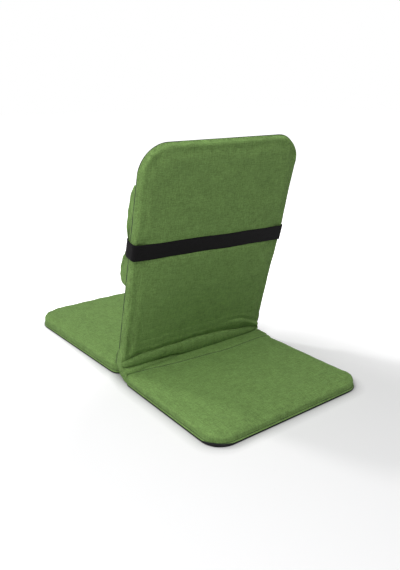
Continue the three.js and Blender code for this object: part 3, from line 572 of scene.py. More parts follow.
def floor_profile(leaf):
    """Side of a floor pad from its foot up: a stitched hem, then full cloth that curves out to its widest."""
    top, edge = leaf["top"], leaf["edge"]
    widest = top - edge
    low = [(0.0060, 0.0015), (0.0024, 0.0024), (0.0013, 0.0034), (0.0012, 0.0048),
           (0.0021, HEM - 0.0005), (0.0038, HEM + 0.0002), (0.0035, HEM + 0.0009)]
    sides = [0.25, 0.5, 0.75]
    full = [(0.0031 * (1 - t) ** 2 + 0.0001, HEM + 0.0009 + (widest - HEM - 0.0009) * t) for t in sides]
    return low + full + edge_arc(top, edge)


def floor_pad(name, leaf, matrix, seed, hinge_ease=0.0):
    """Seat or tail: flat foot, stitched hem, crowned top; hinge_ease takes swelling off near the hinge."""
    profile = floor_profile(leaf)
    pad = leaf_pad(name, leaf, profile, lambda p, d: np.zeros(len(p)), cover_material, matrix)
    count, rings = pad["count"], pad["rings"]
    co = coordinates(pad)
    side = count * rings
    top = slice(side, side + pad["top"])
    # slack in the cloth: gathers along the seam, and low waves over the panel
    rim = np.linalg.norm(co[:side, :2] - np.array([0, leaf["length"] / 2]), axis=1)
    along = np.column_stack([co[:side, 0], co[:side, 1]])
    gather = waves(along, seed, 9, 90, 260)
    height = co[:side, 2] / leaf["top"]
    outwards = along - np.array([0, leaf["length"] / 2])
    outwards /= rim[:, None]
    co[:side, :2] += outwards * (gather * GATHER * smooth(0.05, 0.4, height))[:, None]
    co[:side, 2] += waves(along, seed + 1, 7, 60, 160) * GATHER * smooth(0.5, 1.0, height)
    panel = co[top, :2]
    near_rim = np.exp(-distance_to(ring(leaf, leaf["edge"]), panel) / 0.03)
    co[top, 2] += waves(panel, seed + 2, 9, 14, 48) * PANEL_WAVE
    co[top, 2] += waves(panel, seed + 3, 9, 60, 150) * FLOOR_RIM_WAVE * near_rim
    set_coordinates(pad, co)
    hold = np.zeros(len(co))
    hold[:count * 7] = 1.0
    hold[side + pad["top"]:] = 1.0
    by_hinge = 1 - smooth(0.110, 0.190, co[:, 1])
    inflate(pad, hold, pressure=PAD_PRESSURE, cap=FLOOR_SWELL - hinge_ease * by_hinge)
    return pad


# the tail swells less where the back lies down on it
tail_pad = floor_pad("tail_pad", TAIL, tail_matrix, 11, hinge_ease=TAIL_HINGE_EASE)
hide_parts("tail_cover", "tail_foam")
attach(tail_pad, "floor_section")

seat_pad = floor_pad("seat_pad", SEAT, seat_matrix, 23)
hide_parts("seat_cover", "seat_foam")
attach(seat_pad, "seat_section")


def base_tray(name, leaf, matrix, seed, high_corner):
    """Black base cloth turned up round the pad's foot, as a thin closed tray."""
    profile = [(0.0070, 0.0000), (0.0026, 0.0000), (0.0012, 0.0006), (0.0008, 0.0014),
               (0.0010, 0.0023), (0.0017, 0.0028), (0.0025, 0.0024), (0.0034, 0.0017),
               (0.0070, 0.0012)]
    rings = [ring(leaf, inset) for inset, _ in profile]
    count = len(rings[0])
    rise = np.zeros(count)
    outline = rings[0]
    for corner, reach, lift in high_corner:
        rise += lift * np.exp(-(np.linalg.norm(outline - np.array(corner), axis=1) / reach) ** 2)
    rise += 0.0003 * waves(outline, seed, 7, 50, 140)
    vertices = []
    for r, (_, height) in zip(rings, profile):
        lifted = height + rise * smooth(0.0006, 0.0022, np.full(count, height))
        vertices.append(np.column_stack([r, np.maximum(lifted, height)]))
    faces = strip_faces(len(rings), count)
    total = len(rings) * count
    for k, height in ((0, 0.0), (len(rings) - 1, 0.0012)):
        inner, triangles = fill(rings[k], 0.014)
        vertices.append(np.column_stack([inner, np.full(len(inner), height)]))
        faces += cap_faces(triangles, k * count, count, total)
        total += len(inner)
    obj = new_object(name, np.vstack(vertices), faces, base_material, matrix)
    outward(obj)
    return obj


tail_base = base_tray("tail_base", TAIL, tail_matrix, 31, [((0.196, 0.342), 0.035, 0.0045)])
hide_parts("tail_base_cloth")
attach(tail_base, "floor_section")
seat_base = base_tray("seat_base", SEAT, seat_matrix, 37, [])
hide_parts("seat_base_cloth")
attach(seat_base, "seat_section")


# Back pad
def back_profile():
    """Side of the back pad, from under its front rim, over the seam, to its rear face."""
    low = [(0.0060, BACK_SEAM - 0.0027), (0.0021, BACK_SEAM - 0.0019), (0.0007, BACK_SEAM - 0.0009),
           (0.0013, BACK_SEAM), (0.0003, BACK_SEAM + 0.0009), (0.0, BACK_SEAM + 0.0034), (0.0, 0.0115)]
    return low + edge_arc(BACK["top"], BACK["edge"])


back_pad = leaf_pad("back_pad", BACK, back_profile(),
                    lambda p, d: BACK_CROWN * (1 - np.exp(-d / 0.016)),
                    cover_material, back_matrix, crown_reach=0.05, valley=0.0026)
co = coordinates(back_pad)
count, side = back_pad["count"], back_pad["count"] * back_pad["rings"]
along = co[:side, :2]
height = co[:side, 2] / BACK["top"]
centre = np.array([0, BACK["length"] / 2])
outwards = along - centre
outwards /= np.linalg.norm(outwards, axis=1)[:, None]
co[:side, :2] += outwards * (waves(along, 41, 9, 60, 180) * GATHER)[:, None]
top = slice(side, side + back_pad["top"])
co[top, 2] += waves(co[top, :2], 43, 9, 12, 40) * PANEL_WAVE
near_rim = np.exp(-distance_to(ring(BACK, BACK["edge"]), co[top, :2]) / 0.03)
co[top, 2] += waves(co[top, :2], 44, 9, 60, 140) * BACK_RIM_WAVE * near_rim
# the pad thins out towards the hinge, where the slack cloth folds in under it
thin = 1 - smooth(-0.009, 0.022, co[:, 1])
co[:, 2] -= np.maximum(co[:, 2] - 0.004, 0) * BACK_THINNING * thin
# leaves room over the tail when the back lies down on it
low_middle = (1 - smooth(0.100, 0.180, co[:, 1])) * (1 - smooth(0.160, 0.179, np.abs(co[:, 0])))
co[:, 2] -= BACK_RELIEF * smooth(0.009, 0.015, co[:, 2]) * low_middle
set_coordinates(back_pad, co)
hold = np.zeros(len(co))
hold[:count * 5] = 1.0
hold[side + back_pad["top"]:] = 1.0
under_strap = np.abs(co[:, 1] - (STRAP_HEIGHT - STRAP_RISE * co[:, 0])) < STRAP_WIDTH / 2
hold[under_strap] = 1.0
low_rear = (1 - smooth(0.110, 0.190, co[:, 1])) * smooth(0.010, 0.016, co[:, 2])
inflate(back_pad, hold, pressure=PAD_PRESSURE, cap=BACK_SWELL - BACK_HINGE_EASE * low_rear)
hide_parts("back_rear_cover", "back_front_cover", "back_foam")
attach(back_pad, "backrest")


def cord_along(name, points, radius, material, closed=True, sides=6):
    """A thin round thread along a line of points, as a mesh."""
    points = np.asarray(points)
    count = len(points)
    following = np.roll(points, -1, axis=0) if closed else np.vstack([points[1:], points[-1]])
    previous = np.roll(points, 1, axis=0) if closed else np.vstack([points[0], points[:-1]])
    tangent = following - previous
    tangent /= np.maximum(np.linalg.norm(tangent, axis=1), 1e-9)[:, None]
    reference = np.array([0.0, 0.0, 1.0])
    first = np.cross(tangent, reference)
    first /= np.maximum(np.linalg.norm(first, axis=1), 1e-9)[:, None]
    second = np.cross(tangent, first)
    vertices = []
    for i in range(count):
        for s in range(sides):
            a = 2 * math.pi * s / sides
            vertices.append(points[i] + radius * (math.cos(a) * first[i] + math.sin(a) * second[i]))
    faces = strip_faces(count, sides, closed)
    if not closed:
        faces.append(tuple(range(sides)))
        faces.append(tuple((count - 1) * sides + s for s in range(sides)))
    obj = new_object(name, vertices, faces, material)
    outward(obj)
    return obj


def seam_line(name, leaf, matrix, inset, height, radius, body):
    """Stitching round a leaf, at an inset from its outline and a height."""
    outline = [matrix @ Vector((x, y, height)) for x, y in ring(leaf, inset)]
    line = cord_along(name, outline, radius, seam_painted_shade_material)
    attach(line, body)


# real stitching, in the dark thread whose colour paints the shade of each seam
seam_line("back_front_seam", BACK, back_matrix, 0.0008, BACK_SEAM, 0.0013, "backrest")
seam_line("tail_side_seam", TAIL, tail_matrix, 0.0036, HEM + 0.0002, 0.0006, "floor_section")
seam_line("seat_side_seam", SEAT, seat_matrix, 0.0036, HEM + 0.0002, 0.0006, "seat_section")


# Lumbar cushion
def catmull(points, samples):
    """Points along a centripetal Catmull-Rom line through the given ones."""
    p = np.asarray(points, float)
    p = np.vstack([2 * p[0] - p[1], p, 2 * p[-1] - p[-2]])
    out = []
    spans = len(p) - 3
    for s in np.linspace(0, spans, samples):
        i = min(int(s), spans - 1)
        t = s - i
        a, b, c, d = p[i:i + 4]
        out.append(0.5 * (2 * b + (c - a) * t + (2 * a - 5 * b + 4 * c - d) * t ** 2
                          + (3 * b - a - 3 * c + d) * t ** 3))
    return np.array(out)


def drawn_in(x):
    """How far the strap has pulled the cushion's waist in at a place across: 0 in the middle, 1 at an end."""
    return min(1.0, max(0.0, (abs(x) - LUMBAR["full_side"]) / (LUMBAR["half"] - LUMBAR["full_side"])))


def lumbar_profile(waist):
    """The cushion's front from its foot up, as (height, depth), with its waist under the strap."""
    h, low, upper = LUMBAR["height"], LUMBAR["lower"], LUMBAR["upper"]
    middle = STRAP_HEIGHT - LUMBAR["bottom"]
    half = STRAP_WIDTH / 2
    slack = 0.0035
    return catmull([(0.003, low * 0.28), (0.008, low * 0.78), (h * 0.12, low - slack + 0.001),
                    (middle - half - 0.016, low * 0.82), (middle - half - 0.001, waist + 0.003),
                    (middle - half + 0.003, waist + 0.001), (middle + half - 0.003, waist + 0.001),
                    (middle + half + 0.001, waist + 0.003), (middle + half + 0.016, upper * 0.88),
                    (h * 0.75, upper - slack), (h - 0.009, upper * 0.72), (h - 0.003, upper * 0.25)], 50)


def lumbar_pad():
    """The cushion, as rings along x, each its front profile closed by a flat rear on the back pad."""
    bottom, h, end_round = LUMBAR["bottom"], LUMBAR["height"], LUMBAR["end_round"]
    half = STRAP_WIDTH / 2
    rear = -(AXIS_HEIGHT + CUSHION_GAP)
    back_points = 22
    shares = np.sin(np.linspace(-1, 1, 64) * math.pi / 2)
    shares = 0.6 * shares + 0.4 * np.linspace(-1, 1, 64)
    rings = []
    for share in shares:
        x = share * (LUMBAR["half"] - 0.001)
        from_end = min(LUMBAR["half"] - abs(x), end_round)
        swell = math.sqrt(max(0.0, 1 - (1 - from_end / end_round) ** 2))
        full = (0.40 + 0.60 * swell) * (1 - 0.16 * drawn_in(x))
        profile = lumbar_profile(LUMBAR["waist"] + (LUMBAR["end_waist"] - LUMBAR["waist"]) * drawn_in(x))
        seat_back = rear + END_SETBACK * smooth(0.150, LUMBAR["half"], abs(x))
        points = [(x, seat_back - depth * full,
                   bottom + h / 2 + (up - h / 2) * (0.985 + 0.015 * swell) + x * STRAP_RISE)
                  for up, depth in profile]
        first, last = points[0], points[-1]
        fall = first[2] - last[2]
        flat = [(x, seat_back, last[2] + fall * k / back_points) for k in range(back_points + 1)]
        rings.append(np.array(points + flat))
    count = len(rings[0])
    vertices = np.vstack(rings)
    faces = strip_faces(len(rings), count)
    centres = [rings[0].mean(axis=0), rings[-1].mean(axis=0)]
    vertices = np.vstack([vertices, centres])
    for i in range(count):
        j = (i + 1) % count
        faces.append((len(vertices) - 2, j, i))
        faces.append((len(vertices) - 1, (len(rings) - 1) * count + i, (len(rings) - 1) * count + j))
    pad = new_object("lumbar_pad", vertices, faces, cover_material, upright_matrix)
    outward(pad)
    co = coordinates(pad)
    from_strap = co[:, 2] - (STRAP_HEIGHT + STRAP_RISE * co[:, 0])
    at_strap = np.abs(from_strap) < half + 0.0005
    behind = rear + END_SETBACK * smooth(0.150, LUMBAR["half"], np.abs(co[:, 0]))
    flat = co[:, 1] > behind - 0.0005
    from_rear = smooth(0.0, 0.02, behind - co[:, 1])
    puffs = waves(co[:, [0, 2]], 53, 9, 60, 170)
    co[:, 1] -= puffs * 0.0012 * from_rear * ~at_strap
    # gathers that run up and down from the strap, deeper towards the ends
    towards_end = 0.6 + 0.3 * smooth(0.10, 0.20, np.abs(co[:, 0]))
    towards_end = towards_end * np.where(from_strap > 0, 0.7, 1.0)
    gathers = np.sin(co[:, 0] * 300 + 2.0 * waves(co[:, [0]], 57, 5, 20, 60) + from_strap * 60)
    near_strap = np.clip(np.exp(-(np.abs(from_strap) - half) / 0.022), 0, 1)
    co[:, 1] -= gathers * 0.0018 * near_strap * from_rear * ~at_strap * towards_end
    ends = smooth(0.188, 0.200, np.abs(co[:, 0]))
    pleats = np.sin(from_strap * 330 + 1.3) * 0.0010 + np.sin(from_strap * 190) * 0.0006
    co[:, 0] += np.sign(co[:, 0]) * pleats * ends * from_rear * ~at_strap
    set_coordinates(pad, co)
    hold = np.zeros(len(co))
    hold[at_strap] = 1.0
    hold[flat] = 1.0
    inflate(pad, hold, pressure=4.0, cap=CUSHION_SWELL, stiffness=10.0, bending=0.3)
    co = coordinates(pad)
    co[:, 1] = np.minimum(co[:, 1], behind)
    set_coordinates(pad, co)
    subdivide(pad, 1)
    return pad


lumbar = lumbar_pad()
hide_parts("lumbar_cushion")
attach(lumbar, "lumbar_support")


# Strap
def strap_band():
    """Webbing round the back and over the cushion's waist, close on what it lies on."""
    thickness = 0.0014
    side = BACK["far"] + 0.0004
    rear = BACK["top"] - AXIS_HEIGHT + BACK["crown"]
    front_side, full_side = LUMBAR["half"], LUMBAR["full_side"]
    front = -(AXIS_HEIGHT + CUSHION_GAP + LUMBAR["waist"]) - 0.0005
    end_front = -(AXIS_HEIGHT + CUSHION_GAP + LUMBAR["end_waist"]) - 0.0005 + END_SETBACK
    corners = [((-front_side, end_front), 0.009), ((-full_side, front), 0.012),
               ((full_side, front), 0.012), ((front_side, end_front), 0.009),
               ((side, -AXIS_HEIGHT), 0.008), ((side, rear - 0.0005), 0.0062),
               ((-side, rear - 0.0005), 0.0062), ((-side, -AXIS_HEIGHT), 0.008)]
    at = np.array([c[0] for c in corners])
    path = []
    for i, (_, radius) in enumerate(corners):
        before = at[i] - at[i - 1]
        after = at[(i + 1) % len(at)] - at[i]
        before /= np.linalg.norm(before)
        after /= np.linalg.norm(after)
        path.extend(rounded(at[i], before, after, radius, 8))
        following = at[(i + 1) % len(at)]
        reach = np.linalg.norm(following - at[i])
        pieces = max(2, int(reach / 0.008))
        last = path[-1]
        target = following - after * 0.012
        if (target - last) @ after > 0:
            for k in range(1, pieces):
                path.append(last + (target - last) * k / pieces)
    path = np.array(path)
    following = np.roll(path, -1, axis=0) - path
    keep = np.linalg.norm(following, axis=1) > 1e-5
    path = path[keep]
    tangent = np.roll(path, -1, axis=0) - np.roll(path, 1, axis=0)
    tangent /= np.linalg.norm(tangent, axis=1)[:, None]
    normal = np.column_stack([tangent[:, 1], -tangent[:, 0]])
    across = 9
    vertices = []
    outline = [(-0.5, 0.15), (-0.5, 0.85)] + [(k / across - 0.5, 1.0) for k in range(across + 1)]
    outline += [(0.5, 0.85), (0.5, 0.15)] + [(0.5 - k / across, 0.0) for k in range(across + 1)]
    for p, n in zip(path, normal):
        wander = 0.0006 * math.sin(p[0] * 31) + 0.0004 * math.sin(p[0] * 57 + 1)
        for share, depth in outline:
            z = STRAP_HEIGHT + share * STRAP_WIDTH + STRAP_RISE * p[0] + wander
            q = p + n * thickness * depth
            vertices.append((q[0], q[1], z))
    faces = strip_faces(len(path), len(outline), closed=True)
    strap = new_object("strap_webbing", vertices, faces, webbing_material, upright_matrix)
    outward(strap)
    return strap


strap = strap_band()
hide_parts("lumbar_strap")
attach(strap, "lumbar_support")


# Slack cloth over the hinge
def hinge_frame(along, out):
    """(y, z) of a point at a height up the back and a distance out from the axis."""
    return np.array([HINGE[1] + along * math.sin(TILT) + out * math.cos(TILT),
                     HINGE[2] + along * math.cos(TILT) - out * math.sin(TILT)])


# How far off the rays start that find the pads' faces
RAY_START = 0.2
back_tree = surface_tree(back_pad)
tail_tree = surface_tree(tail_pad)


def rear_surface(x, along):
    """Distance from the hinge axis plane to the pad's rear face, at a place on the back."""
    start = HINGE + x * ACROSS + along * UP + RAY_START * REARWARD
    hit = back_tree.ray_cast(Vector(start), Vector(-REARWARD))
    if hit[0] is None:
        return BACK["top"] - AXIS_HEIGHT
    return RAY_START - hit[3]


def tail_surface(x, distance):
    """Height of the tail pad's top, at a place across and a distance out from the hinge."""
    hit = tail_tree.ray_cast(Vector((x, HINGE[1] + distance, RAY_START)), Vector((0, 0, -1)))
    if hit[0] is None:
        return TAIL["top"]
    return hit[0].z


# Lines of the slack cloth across the chair, as (x, value)
LINES = {
    "upper_crease": [(-CLOTH_HALF, 0.016), (-0.166, 0.032), (-0.134, 0.044), (-0.101, 0.048),
                     (-0.06, 0.046), (0.1, 0.045), (CLOTH_HALF, 0.040)],
    "roll_top": [(-CLOTH_HALF, -0.003), (-0.184, 0.003), (-0.132, 0.0115), (-0.083, 0.0205),
                 (-0.037, 0.024), (0.008, 0.027), (0.050, 0.0255), (0.115, 0.026), (0.160, 0.024),
                 (CLOTH_HALF, 0.017)],
    "crevice_out": [(-CLOTH_HALF, 0.0150), (-0.1, 0.0165), (0.03, 0.0160), (0.08, 0.0150),
                    (CLOTH_HALF, 0.0145)],
    "crevice_height": [(-CLOTH_HALF, 0.0285), (-0.16, 0.0255), (-0.02, 0.0245), (0.035, 0.0255),
                       (0.055, 0.0290), (0.076, 0.0335), (0.156, 0.0335), (CLOTH_HALF, 0.0366)],
    "lower_crease": [(-0.2, 0.016), (0.040, 0.0175), (0.080, 0.0205), (0.126, 0.0260), (0.155, 0.0285),
                     (0.183, 0.0285), (CLOTH_HALF, 0.0220)],
    "seam": [(-CLOTH_HALF, 0.058), (-0.168, 0.0605), (-0.093, 0.065), (-0.048, 0.064),
             (-0.008, 0.0585), (0.034, 0.0565), (0.072, 0.052), (0.109, 0.046), (0.145, 0.037),
             (0.170, 0.0325), (CLOTH_HALF, 0.0265)],
}
FOLDS = {name: catmull(line, 240) for name, line in LINES.items()}


def fold_at(name, x):
    """Value of one of the lines at a place across."""
    return float(np.interp(x, FOLDS[name][:, 0], FOLDS[name][:, 1]))


def bulge(start, end, height, shares):
    """Points between two places, swelling out from their chord."""
    chord = end - start
    out = np.array([-chord[1], chord[0]]) / np.linalg.norm(chord)
    return [start + chord * along + out * height * rise for along, rise in shares]


def flap_section(x):
    """The cloth's run in (y, z) at a place across: down the back, over its rolls, to its seam on the tail."""
    inner = float(np.clip(x, -0.1985, 0.1985))
    upper, rise = fold_at("upper_crease", x), fold_at("roll_top", x)
    seam, lower, lip = fold_at("seam", x), fold_at("lower_crease", x), fold_at("crevice_out", x)
    end = smooth(0.186, CLOTH_HALF, abs(x))
    far_crease = smooth(-0.085, -0.135, x)
    near = smooth(0.042, 0.088, x)
    flat = TAIL["top"]
    face = rear_surface(inner, 0.060)
    face_low = rear_surface(inner, max(rise + 0.006, 0.030))
    top_line = [hinge_frame(upper + 0.028, face - 0.0018), hinge_frame(upper + 0.011, face + 0.0004),
                hinge_frame(upper, face + 0.0008 - 0.0022 * far_crease),
                hinge_frame(upper - 0.0035 - 0.002 * far_crease, face + 0.0012 + 0.0036 * far_crease),
                hinge_frame(0.5 * (upper + rise), face_low + 0.0026 + 0.0030 * far_crease)]
    crease = hinge_frame(rise, face_low - 0.0004)
    crevice = np.array([HINGE[1] + lip, fold_at("crevice_height", x)])
    reach = np.linalg.norm(crevice - crease)
    roll = min(0.0100, 0.40 * reach) * (1 - 0.45 * end)
    first_roll = bulge(crease, crevice, roll, [(0.02, 0.44), (0.14, 0.78), (0.38, 1.0), (0.66, 1.0),
                                               (0.86, 0.84), (0.94, 0.58), (0.93, 0.28)])
    inwards = np.array([-0.97, 0.24])
    depth = 0.0115 * (1 - 0.75 * smooth(0.158, 0.176, abs(x)))
    deep = [crevice + inwards * depth * 0.5 + np.array([0.0, 0.0022]), crevice + inwards * depth,
            crevice + inwards * depth * 0.5 - np.array([0.0, 0.0012])]

    def on_tail(out, level):
        return np.array([HINGE[1] + out, level])

    tail_at = {d: tail_surface(inner, d) for d in (0.034, 0.046)}
    level = tail_surface(inner, max(seam, 0.024))
    middle = 0.5 * (0.033 + seam)
    far_run = [on_tail(lip + 0.0002, crevice[1] - 0.0016), on_tail(lip + 0.0034, crevice[1] - 0.0006),
               on_tail(lip + 0.0075, flat + 0.0046), on_tail(0.029, tail_at[0.034] + 0.0044),
               on_tail(0.035, tail_at[0.034] + 0.0042), on_tail(middle, tail_at[0.046] + 0.0036)]
    valley = on_tail(lower, flat - 0.0002)
    shallow = smooth(0.10, 0.13, x) * (1 - smooth(0.150, 0.175, x))
    valley = valley + np.array([0.0, 0.0016 * shallow])
    rise_two = min(0.0056, 0.40 * np.linalg.norm(valley - crevice)) * (1 - 0.4 * end)
    sill = crevice - np.array([0.0, 0.0016])
    near_run = bulge(sill, valley, rise_two, [(0.06, 0.36), (0.32, 0.92), (0.68, 1.02), (0.99, 0.62)])
    near_run += [valley, valley + np.array([0.0016, 0.0019])]
    low = [a * (1 - near) + b * near for a, b in zip(far_run, near_run)]
    gap = seam - (lower if near > 0.5 else middle)
    after = [on_tail(seam - 0.45 * max(gap, 0.006), level + 0.0034), on_tail(seam - 0.0024, level + 0.0021),
             on_tail(seam, level + 0.0002), on_tail(seam + 0.0026, level + 0.0007),
             on_tail(seam + 0.013, level - 0.0011)]
    return top_line + [crease] + first_roll + deep + low + after


def hinge_flap():
    """Grid of the cloth behind the hinge, one section to a column, with its wrinkles."""
    columns, samples = 170, 176
    grid = []
    for c in range(columns + 1):
        t = 2 * c / columns - 1
        x = CLOTH_HALF * (0.72 * t + 0.28 * math.sin(t * math.pi / 2))
        line = catmull(flap_section(x), samples)
        grid.append(np.column_stack([np.full(samples, x), line]))
    grid = np.array(grid)
    shares = np.linspace(0, 1, samples)
    body = np.sin(np.clip((shares - 0.16) / 0.74, 0, 1) * math.pi)
    x = grid[:, :, 0]
    for corner, strength in ((CLOTH_HALF, 1.0), (-CLOTH_HALF, 0.7)):
        reach = np.abs(x - corner)
        fan = np.sin(shares[None, :] * 46 + reach * 40) * np.exp(-reach / 0.030) * strength
        grid[:, :, 1] += fan * 0.0009 * body
        grid[:, :, 2] += fan * 0.0007 * body
    turn = np.clip((np.abs(x) - 0.1965) / 0.007, 0, 1)
    grid[:, :, 1] -= 0.0045 * turn ** 2
    flat = grid.reshape(-1, 3)
    ripple = waves(flat[:, :2] * np.array([1.0, 2.4]), 61, 7, 20, 60).reshape(x.shape)
    fine = waves(flat[:, :2] * np.array([1.0, 1.6]), 62, 9, 90, 240).reshape(x.shape)
    grid[:, :, 2] += (ripple * 0.0007 + fine * 0.00025) * body
    grid[:, :, 1] += (ripple * 0.0004 + fine * 0.00020) * body
    return grid


def cloth_sheet(name, grid, thickness, material):
    """Closed sheet of even thickness on a grid of points."""
    rows, columns = grid.shape[:2]
    normal = np.cross(*np.gradient(grid, axis=(0, 1)))
    normal /= np.maximum(np.linalg.norm(normal, axis=2), 1e-12)[:, :, None]
    top = (grid + normal * thickness / 2).reshape(-1, 3)
    bottom = (grid - normal * thickness / 2).reshape(-1, 3)
    half = rows * columns
    faces = []
    for r in range(rows - 1):
        for c in range(columns - 1):
            a = r * columns + c
            faces.append((a, a + columns, a + columns + 1, a + 1))
            faces.append((a + half, a + 1 + half, a + columns + 1 + half, a + columns + half))
    for r in range(rows - 1):
        for a in (r * columns, r * columns + columns - 1):
            faces.append((a, a + columns, a + columns + half, a + half))
    for c in range(columns - 1):
        for a in (c, (rows - 1) * columns + c):
            faces.append((a, a + 1, a + 1 + half, a + half))
    obj = new_object(name, np.vstack([top, bottom]), faces, material)
    outward(obj)
    return obj


flap_grid = hinge_flap()
flap = cloth_sheet("hinge_flap", flap_grid, CLOTH_THICKNESS, cover_material)
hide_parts("rear_flap")
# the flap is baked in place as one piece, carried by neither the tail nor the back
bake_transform(flap)


# Foot of the corner cloth on the floor side, as (out from the hinge, x)
SIDE_FOOT = [(-0.029, 0.1885), (-0.022, 0.1905), (-0.0175, 0.1920), (-0.006, 0.1938),
             (0.0136, 0.1997), (0.032, 0.2030), (0.045, 0.2044)]
# Tucks of the corner cloth as (from, to, width, depth), each place as (out from the hinge, height)
TUCKS = [((-0.0175, 0.0480), (-0.0075, 0.0590), 0.0021, 0.0105),
         ((-0.0250, 0.0170), (-0.0175, 0.0300), 0.0018, 0.0075),
         ((-0.0100, 0.0400), (-0.0120, 0.0270), 0.0015, 0.0060),
         ((-0.0120, 0.0270), (-0.0160, 0.0040), 0.0015, 0.0060),
         ((-0.0040, 0.0190), (0.0130, 0.0235), 0.0016, 0.0030),
         ((0.0030, 0.0090), (0.0200, 0.0160), 0.0016, 0.0025)]
# Line of the stitching on the corner cloth, laid along its crease so that the dark thread paints the crease's
# shade, as (out from the hinge, height)
CORNER_CREASE_SEAM = [(0.0086, 0.0850), (0.0050, 0.0765), (0.0008, 0.0670), (-0.0032, 0.0540),
               (-0.0066, 0.0430), (-0.0100, 0.0340), (-0.0118, 0.0230), (-0.0140, 0.0120),
               (-0.0168, 0.0030)]


def tuck_depth(y, z):
    """How far the tucks draw the corner cloth in at a place."""
    total = 0.0
    for start, end, width, depth in TUCKS:
        run = np.subtract(end, start)
        along = np.clip(np.dot((y - start[0], z - start[1]), run) / (run @ run), 0, 1)
        apart = np.hypot(y - start[0] - run[0] * along, z - start[1] - run[1] * along)
        total += depth * math.exp(-(apart / width) ** 2)
    return min(total, 0.0110)


def side_fold(hand):
    """Slack cloth that closes one hinge corner: from seat to tail, up onto the back's side, with tucks."""
    rows, columns = 96, 84
    axis = np.array([HINGE[1], 0])
    on_back = [tuple(hinge_frame(h, -0.0048) - axis) for h in (0.040, 0.048)]
    front = catmull([(-0.0280, 0.0030), (-0.0275, 0.012), (-0.0262, 0.022), (-0.0242, 0.032),
                     (-0.0228, 0.043), (-0.0185, 0.054), (-0.0110, 0.064)] + on_back, rows)
    on_back = [tuple(hinge_frame(h, 0.0132) - axis) for h in (0.008, 0.022, 0.037)]
    rear = catmull([(0.0350, 0.0030), (0.0340, 0.012), (0.0300, 0.0205), (0.0200, 0.031)] + on_back,
                   rows)
    foot_y, foot_x = np.array(SIDE_FOOT).T
    grid = np.empty((rows, columns, 3))
    corner = TAIL["near_corner"]
    centre = TAIL["notch"] + corner
    for r in range(rows):
        v = r / (rows - 1)
        for c in range(columns):
            u = c / (columns - 1)
            y, z = front[r] + (rear[r] - front[r]) * u
            low = 1 - smooth(0.004, 0.044, z)
            x = CORNER_OUT - 0.0012 * smooth(0.88, 1.0, v)
            x += (np.interp(y, foot_y, foot_x) - x) * low
            x -= tuck_depth(y, z)
            x -= 0.0065 * (1 - smooth(0.0, 0.12, u)) * (1 - smooth(0.80, 1.0, v))
            x += 0.0005 * math.sin(520 * y + 330 * z) * low
            pad_x = TAIL["near"] - corner + math.sqrt(max(0.0, corner ** 2 - min(0.0, y - centre) ** 2))
            pad_x -= 0.0032 * (1 - smooth(0.006, 0.016, z))
            sewn = smooth(0.80, 0.98, u) * (1 - smooth(0.40, 0.52, v))
            x += (pad_x - 0.0003 - x) * sewn
            x -= 0.0022 * smooth(0.90, 1.0, u) * smooth(0.40, 0.52, v)
            grid[r, c] = (hand * x, HINGE[1] + y, z)
    # round the front of the hinge and in under the pads
    turns = 18
    wrap = np.empty((rows, turns, 3))
    for r in range(rows):
        x, y, z = grid[r, 0]
        inner_y = HINGE[1] + (0.252 * (z - HINGE[2]) - AXIS_HEIGHT) / 0.968 + 0.003
        for k in range(turns):
            w = 1 - k / turns
            slack = 0.0008 * math.sin(9 * w + 190 * z)
            wrap[r, k] = (x + (hand * CORNER_IN - x) * w, y + (inner_y - y) * w ** 1.7 + slack, z)
    return np.concatenate([wrap, grid], axis=1)


for side_name, hand in (("left", 1), ("right", -1)):
    fold_grid = side_fold(hand)
    fold = cloth_sheet(f"{side_name}_side_fold", fold_grid, CLOTH_THICKNESS, cover_material)
    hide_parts(f"{side_name}_side_gusset")
    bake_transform(fold)
    fold_tree = surface_tree(fold)
    # stitching along the corner crease: its dark colour is painted shade for the crease
    stitches = []
    for y, z in catmull(CORNER_CREASE_SEAM, 60):
        hit = fold_tree.ray_cast(Vector((hand * 0.25, HINGE[1] + y, z)), Vector((-hand, 0, 0)))
        if hit[0] is not None:
            stitches.append(np.array(hit[0]))
    stitching = cord_along(f"{side_name}_corner_seam_painted_crease", stitches, 0.0007, seam_painted_shade_material, closed=False)
    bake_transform(stitching)


def flap_seam():
    """Stitching where the hinge cloth is sewn down on the tail, in the dark thread that paints the seam's
    shade.
    """
    points = []
    for x in np.linspace(-0.1985, 0.1985, 120):
        out = fold_at("seam", x)
        points.append((x, HINGE[1] + out, tail_surface(x, max(out, 0.024)) + 0.0009))
    line = cord_along("hinge_flap_seam", points, 0.0008, seam_painted_shade_material, closed=False)
    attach(line, "floor_section")


flap_seam()


def front_gusset():
    """Cloth between seat and tail under the back, hanging in a shallow valley."""
    rows, columns = 60, 44
    grid = np.empty((columns, rows, 3))
    line = catmull([(-0.0200, 0.0288), (-0.0130, 0.0274), (-0.0088, 0.0266), (-0.0054, 0.0240),
                    (-0.0036, 0.0180), (0.0, 0.0125), (0.0036, 0.0155), (0.0054, 0.0200),
                    (0.0088, 0.0226), (0.0130, 0.0234), (0.0200, 0.0248)], columns)
    for c in range(columns):
        for r in range(rows):
            x = -0.176 + 0.352 * r / (rows - 1)
            hang = math.sin(math.pi * c / (columns - 1))
            wave = 0.0006 * math.sin(x * 160 + 2 * math.sin(x * 40)) * hang
            grid[c, r] = (x, HINGE[1] + line[c, 0], line[c, 1] + wave)
    return grid


valley_grid = front_gusset()
valley = cloth_sheet("hinge_valley", valley_grid, 0.0009, cover_material)
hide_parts("hinge_gusset")
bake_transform(valley)


# Floor, light and camera
def seen_by_camera(tree):
    """1 for camera, glossy and transmission rays, 0 for the light that falls on the object."""
    path = add_node(tree, "ShaderNodeLightPath").outputs
    seen = maths(tree, "MAXIMUM", path["Is Camera Ray"], path["Is Glossy Ray"])
    return maths(tree, "MAXIMUM", seen, path["Is Transmission Ray"])


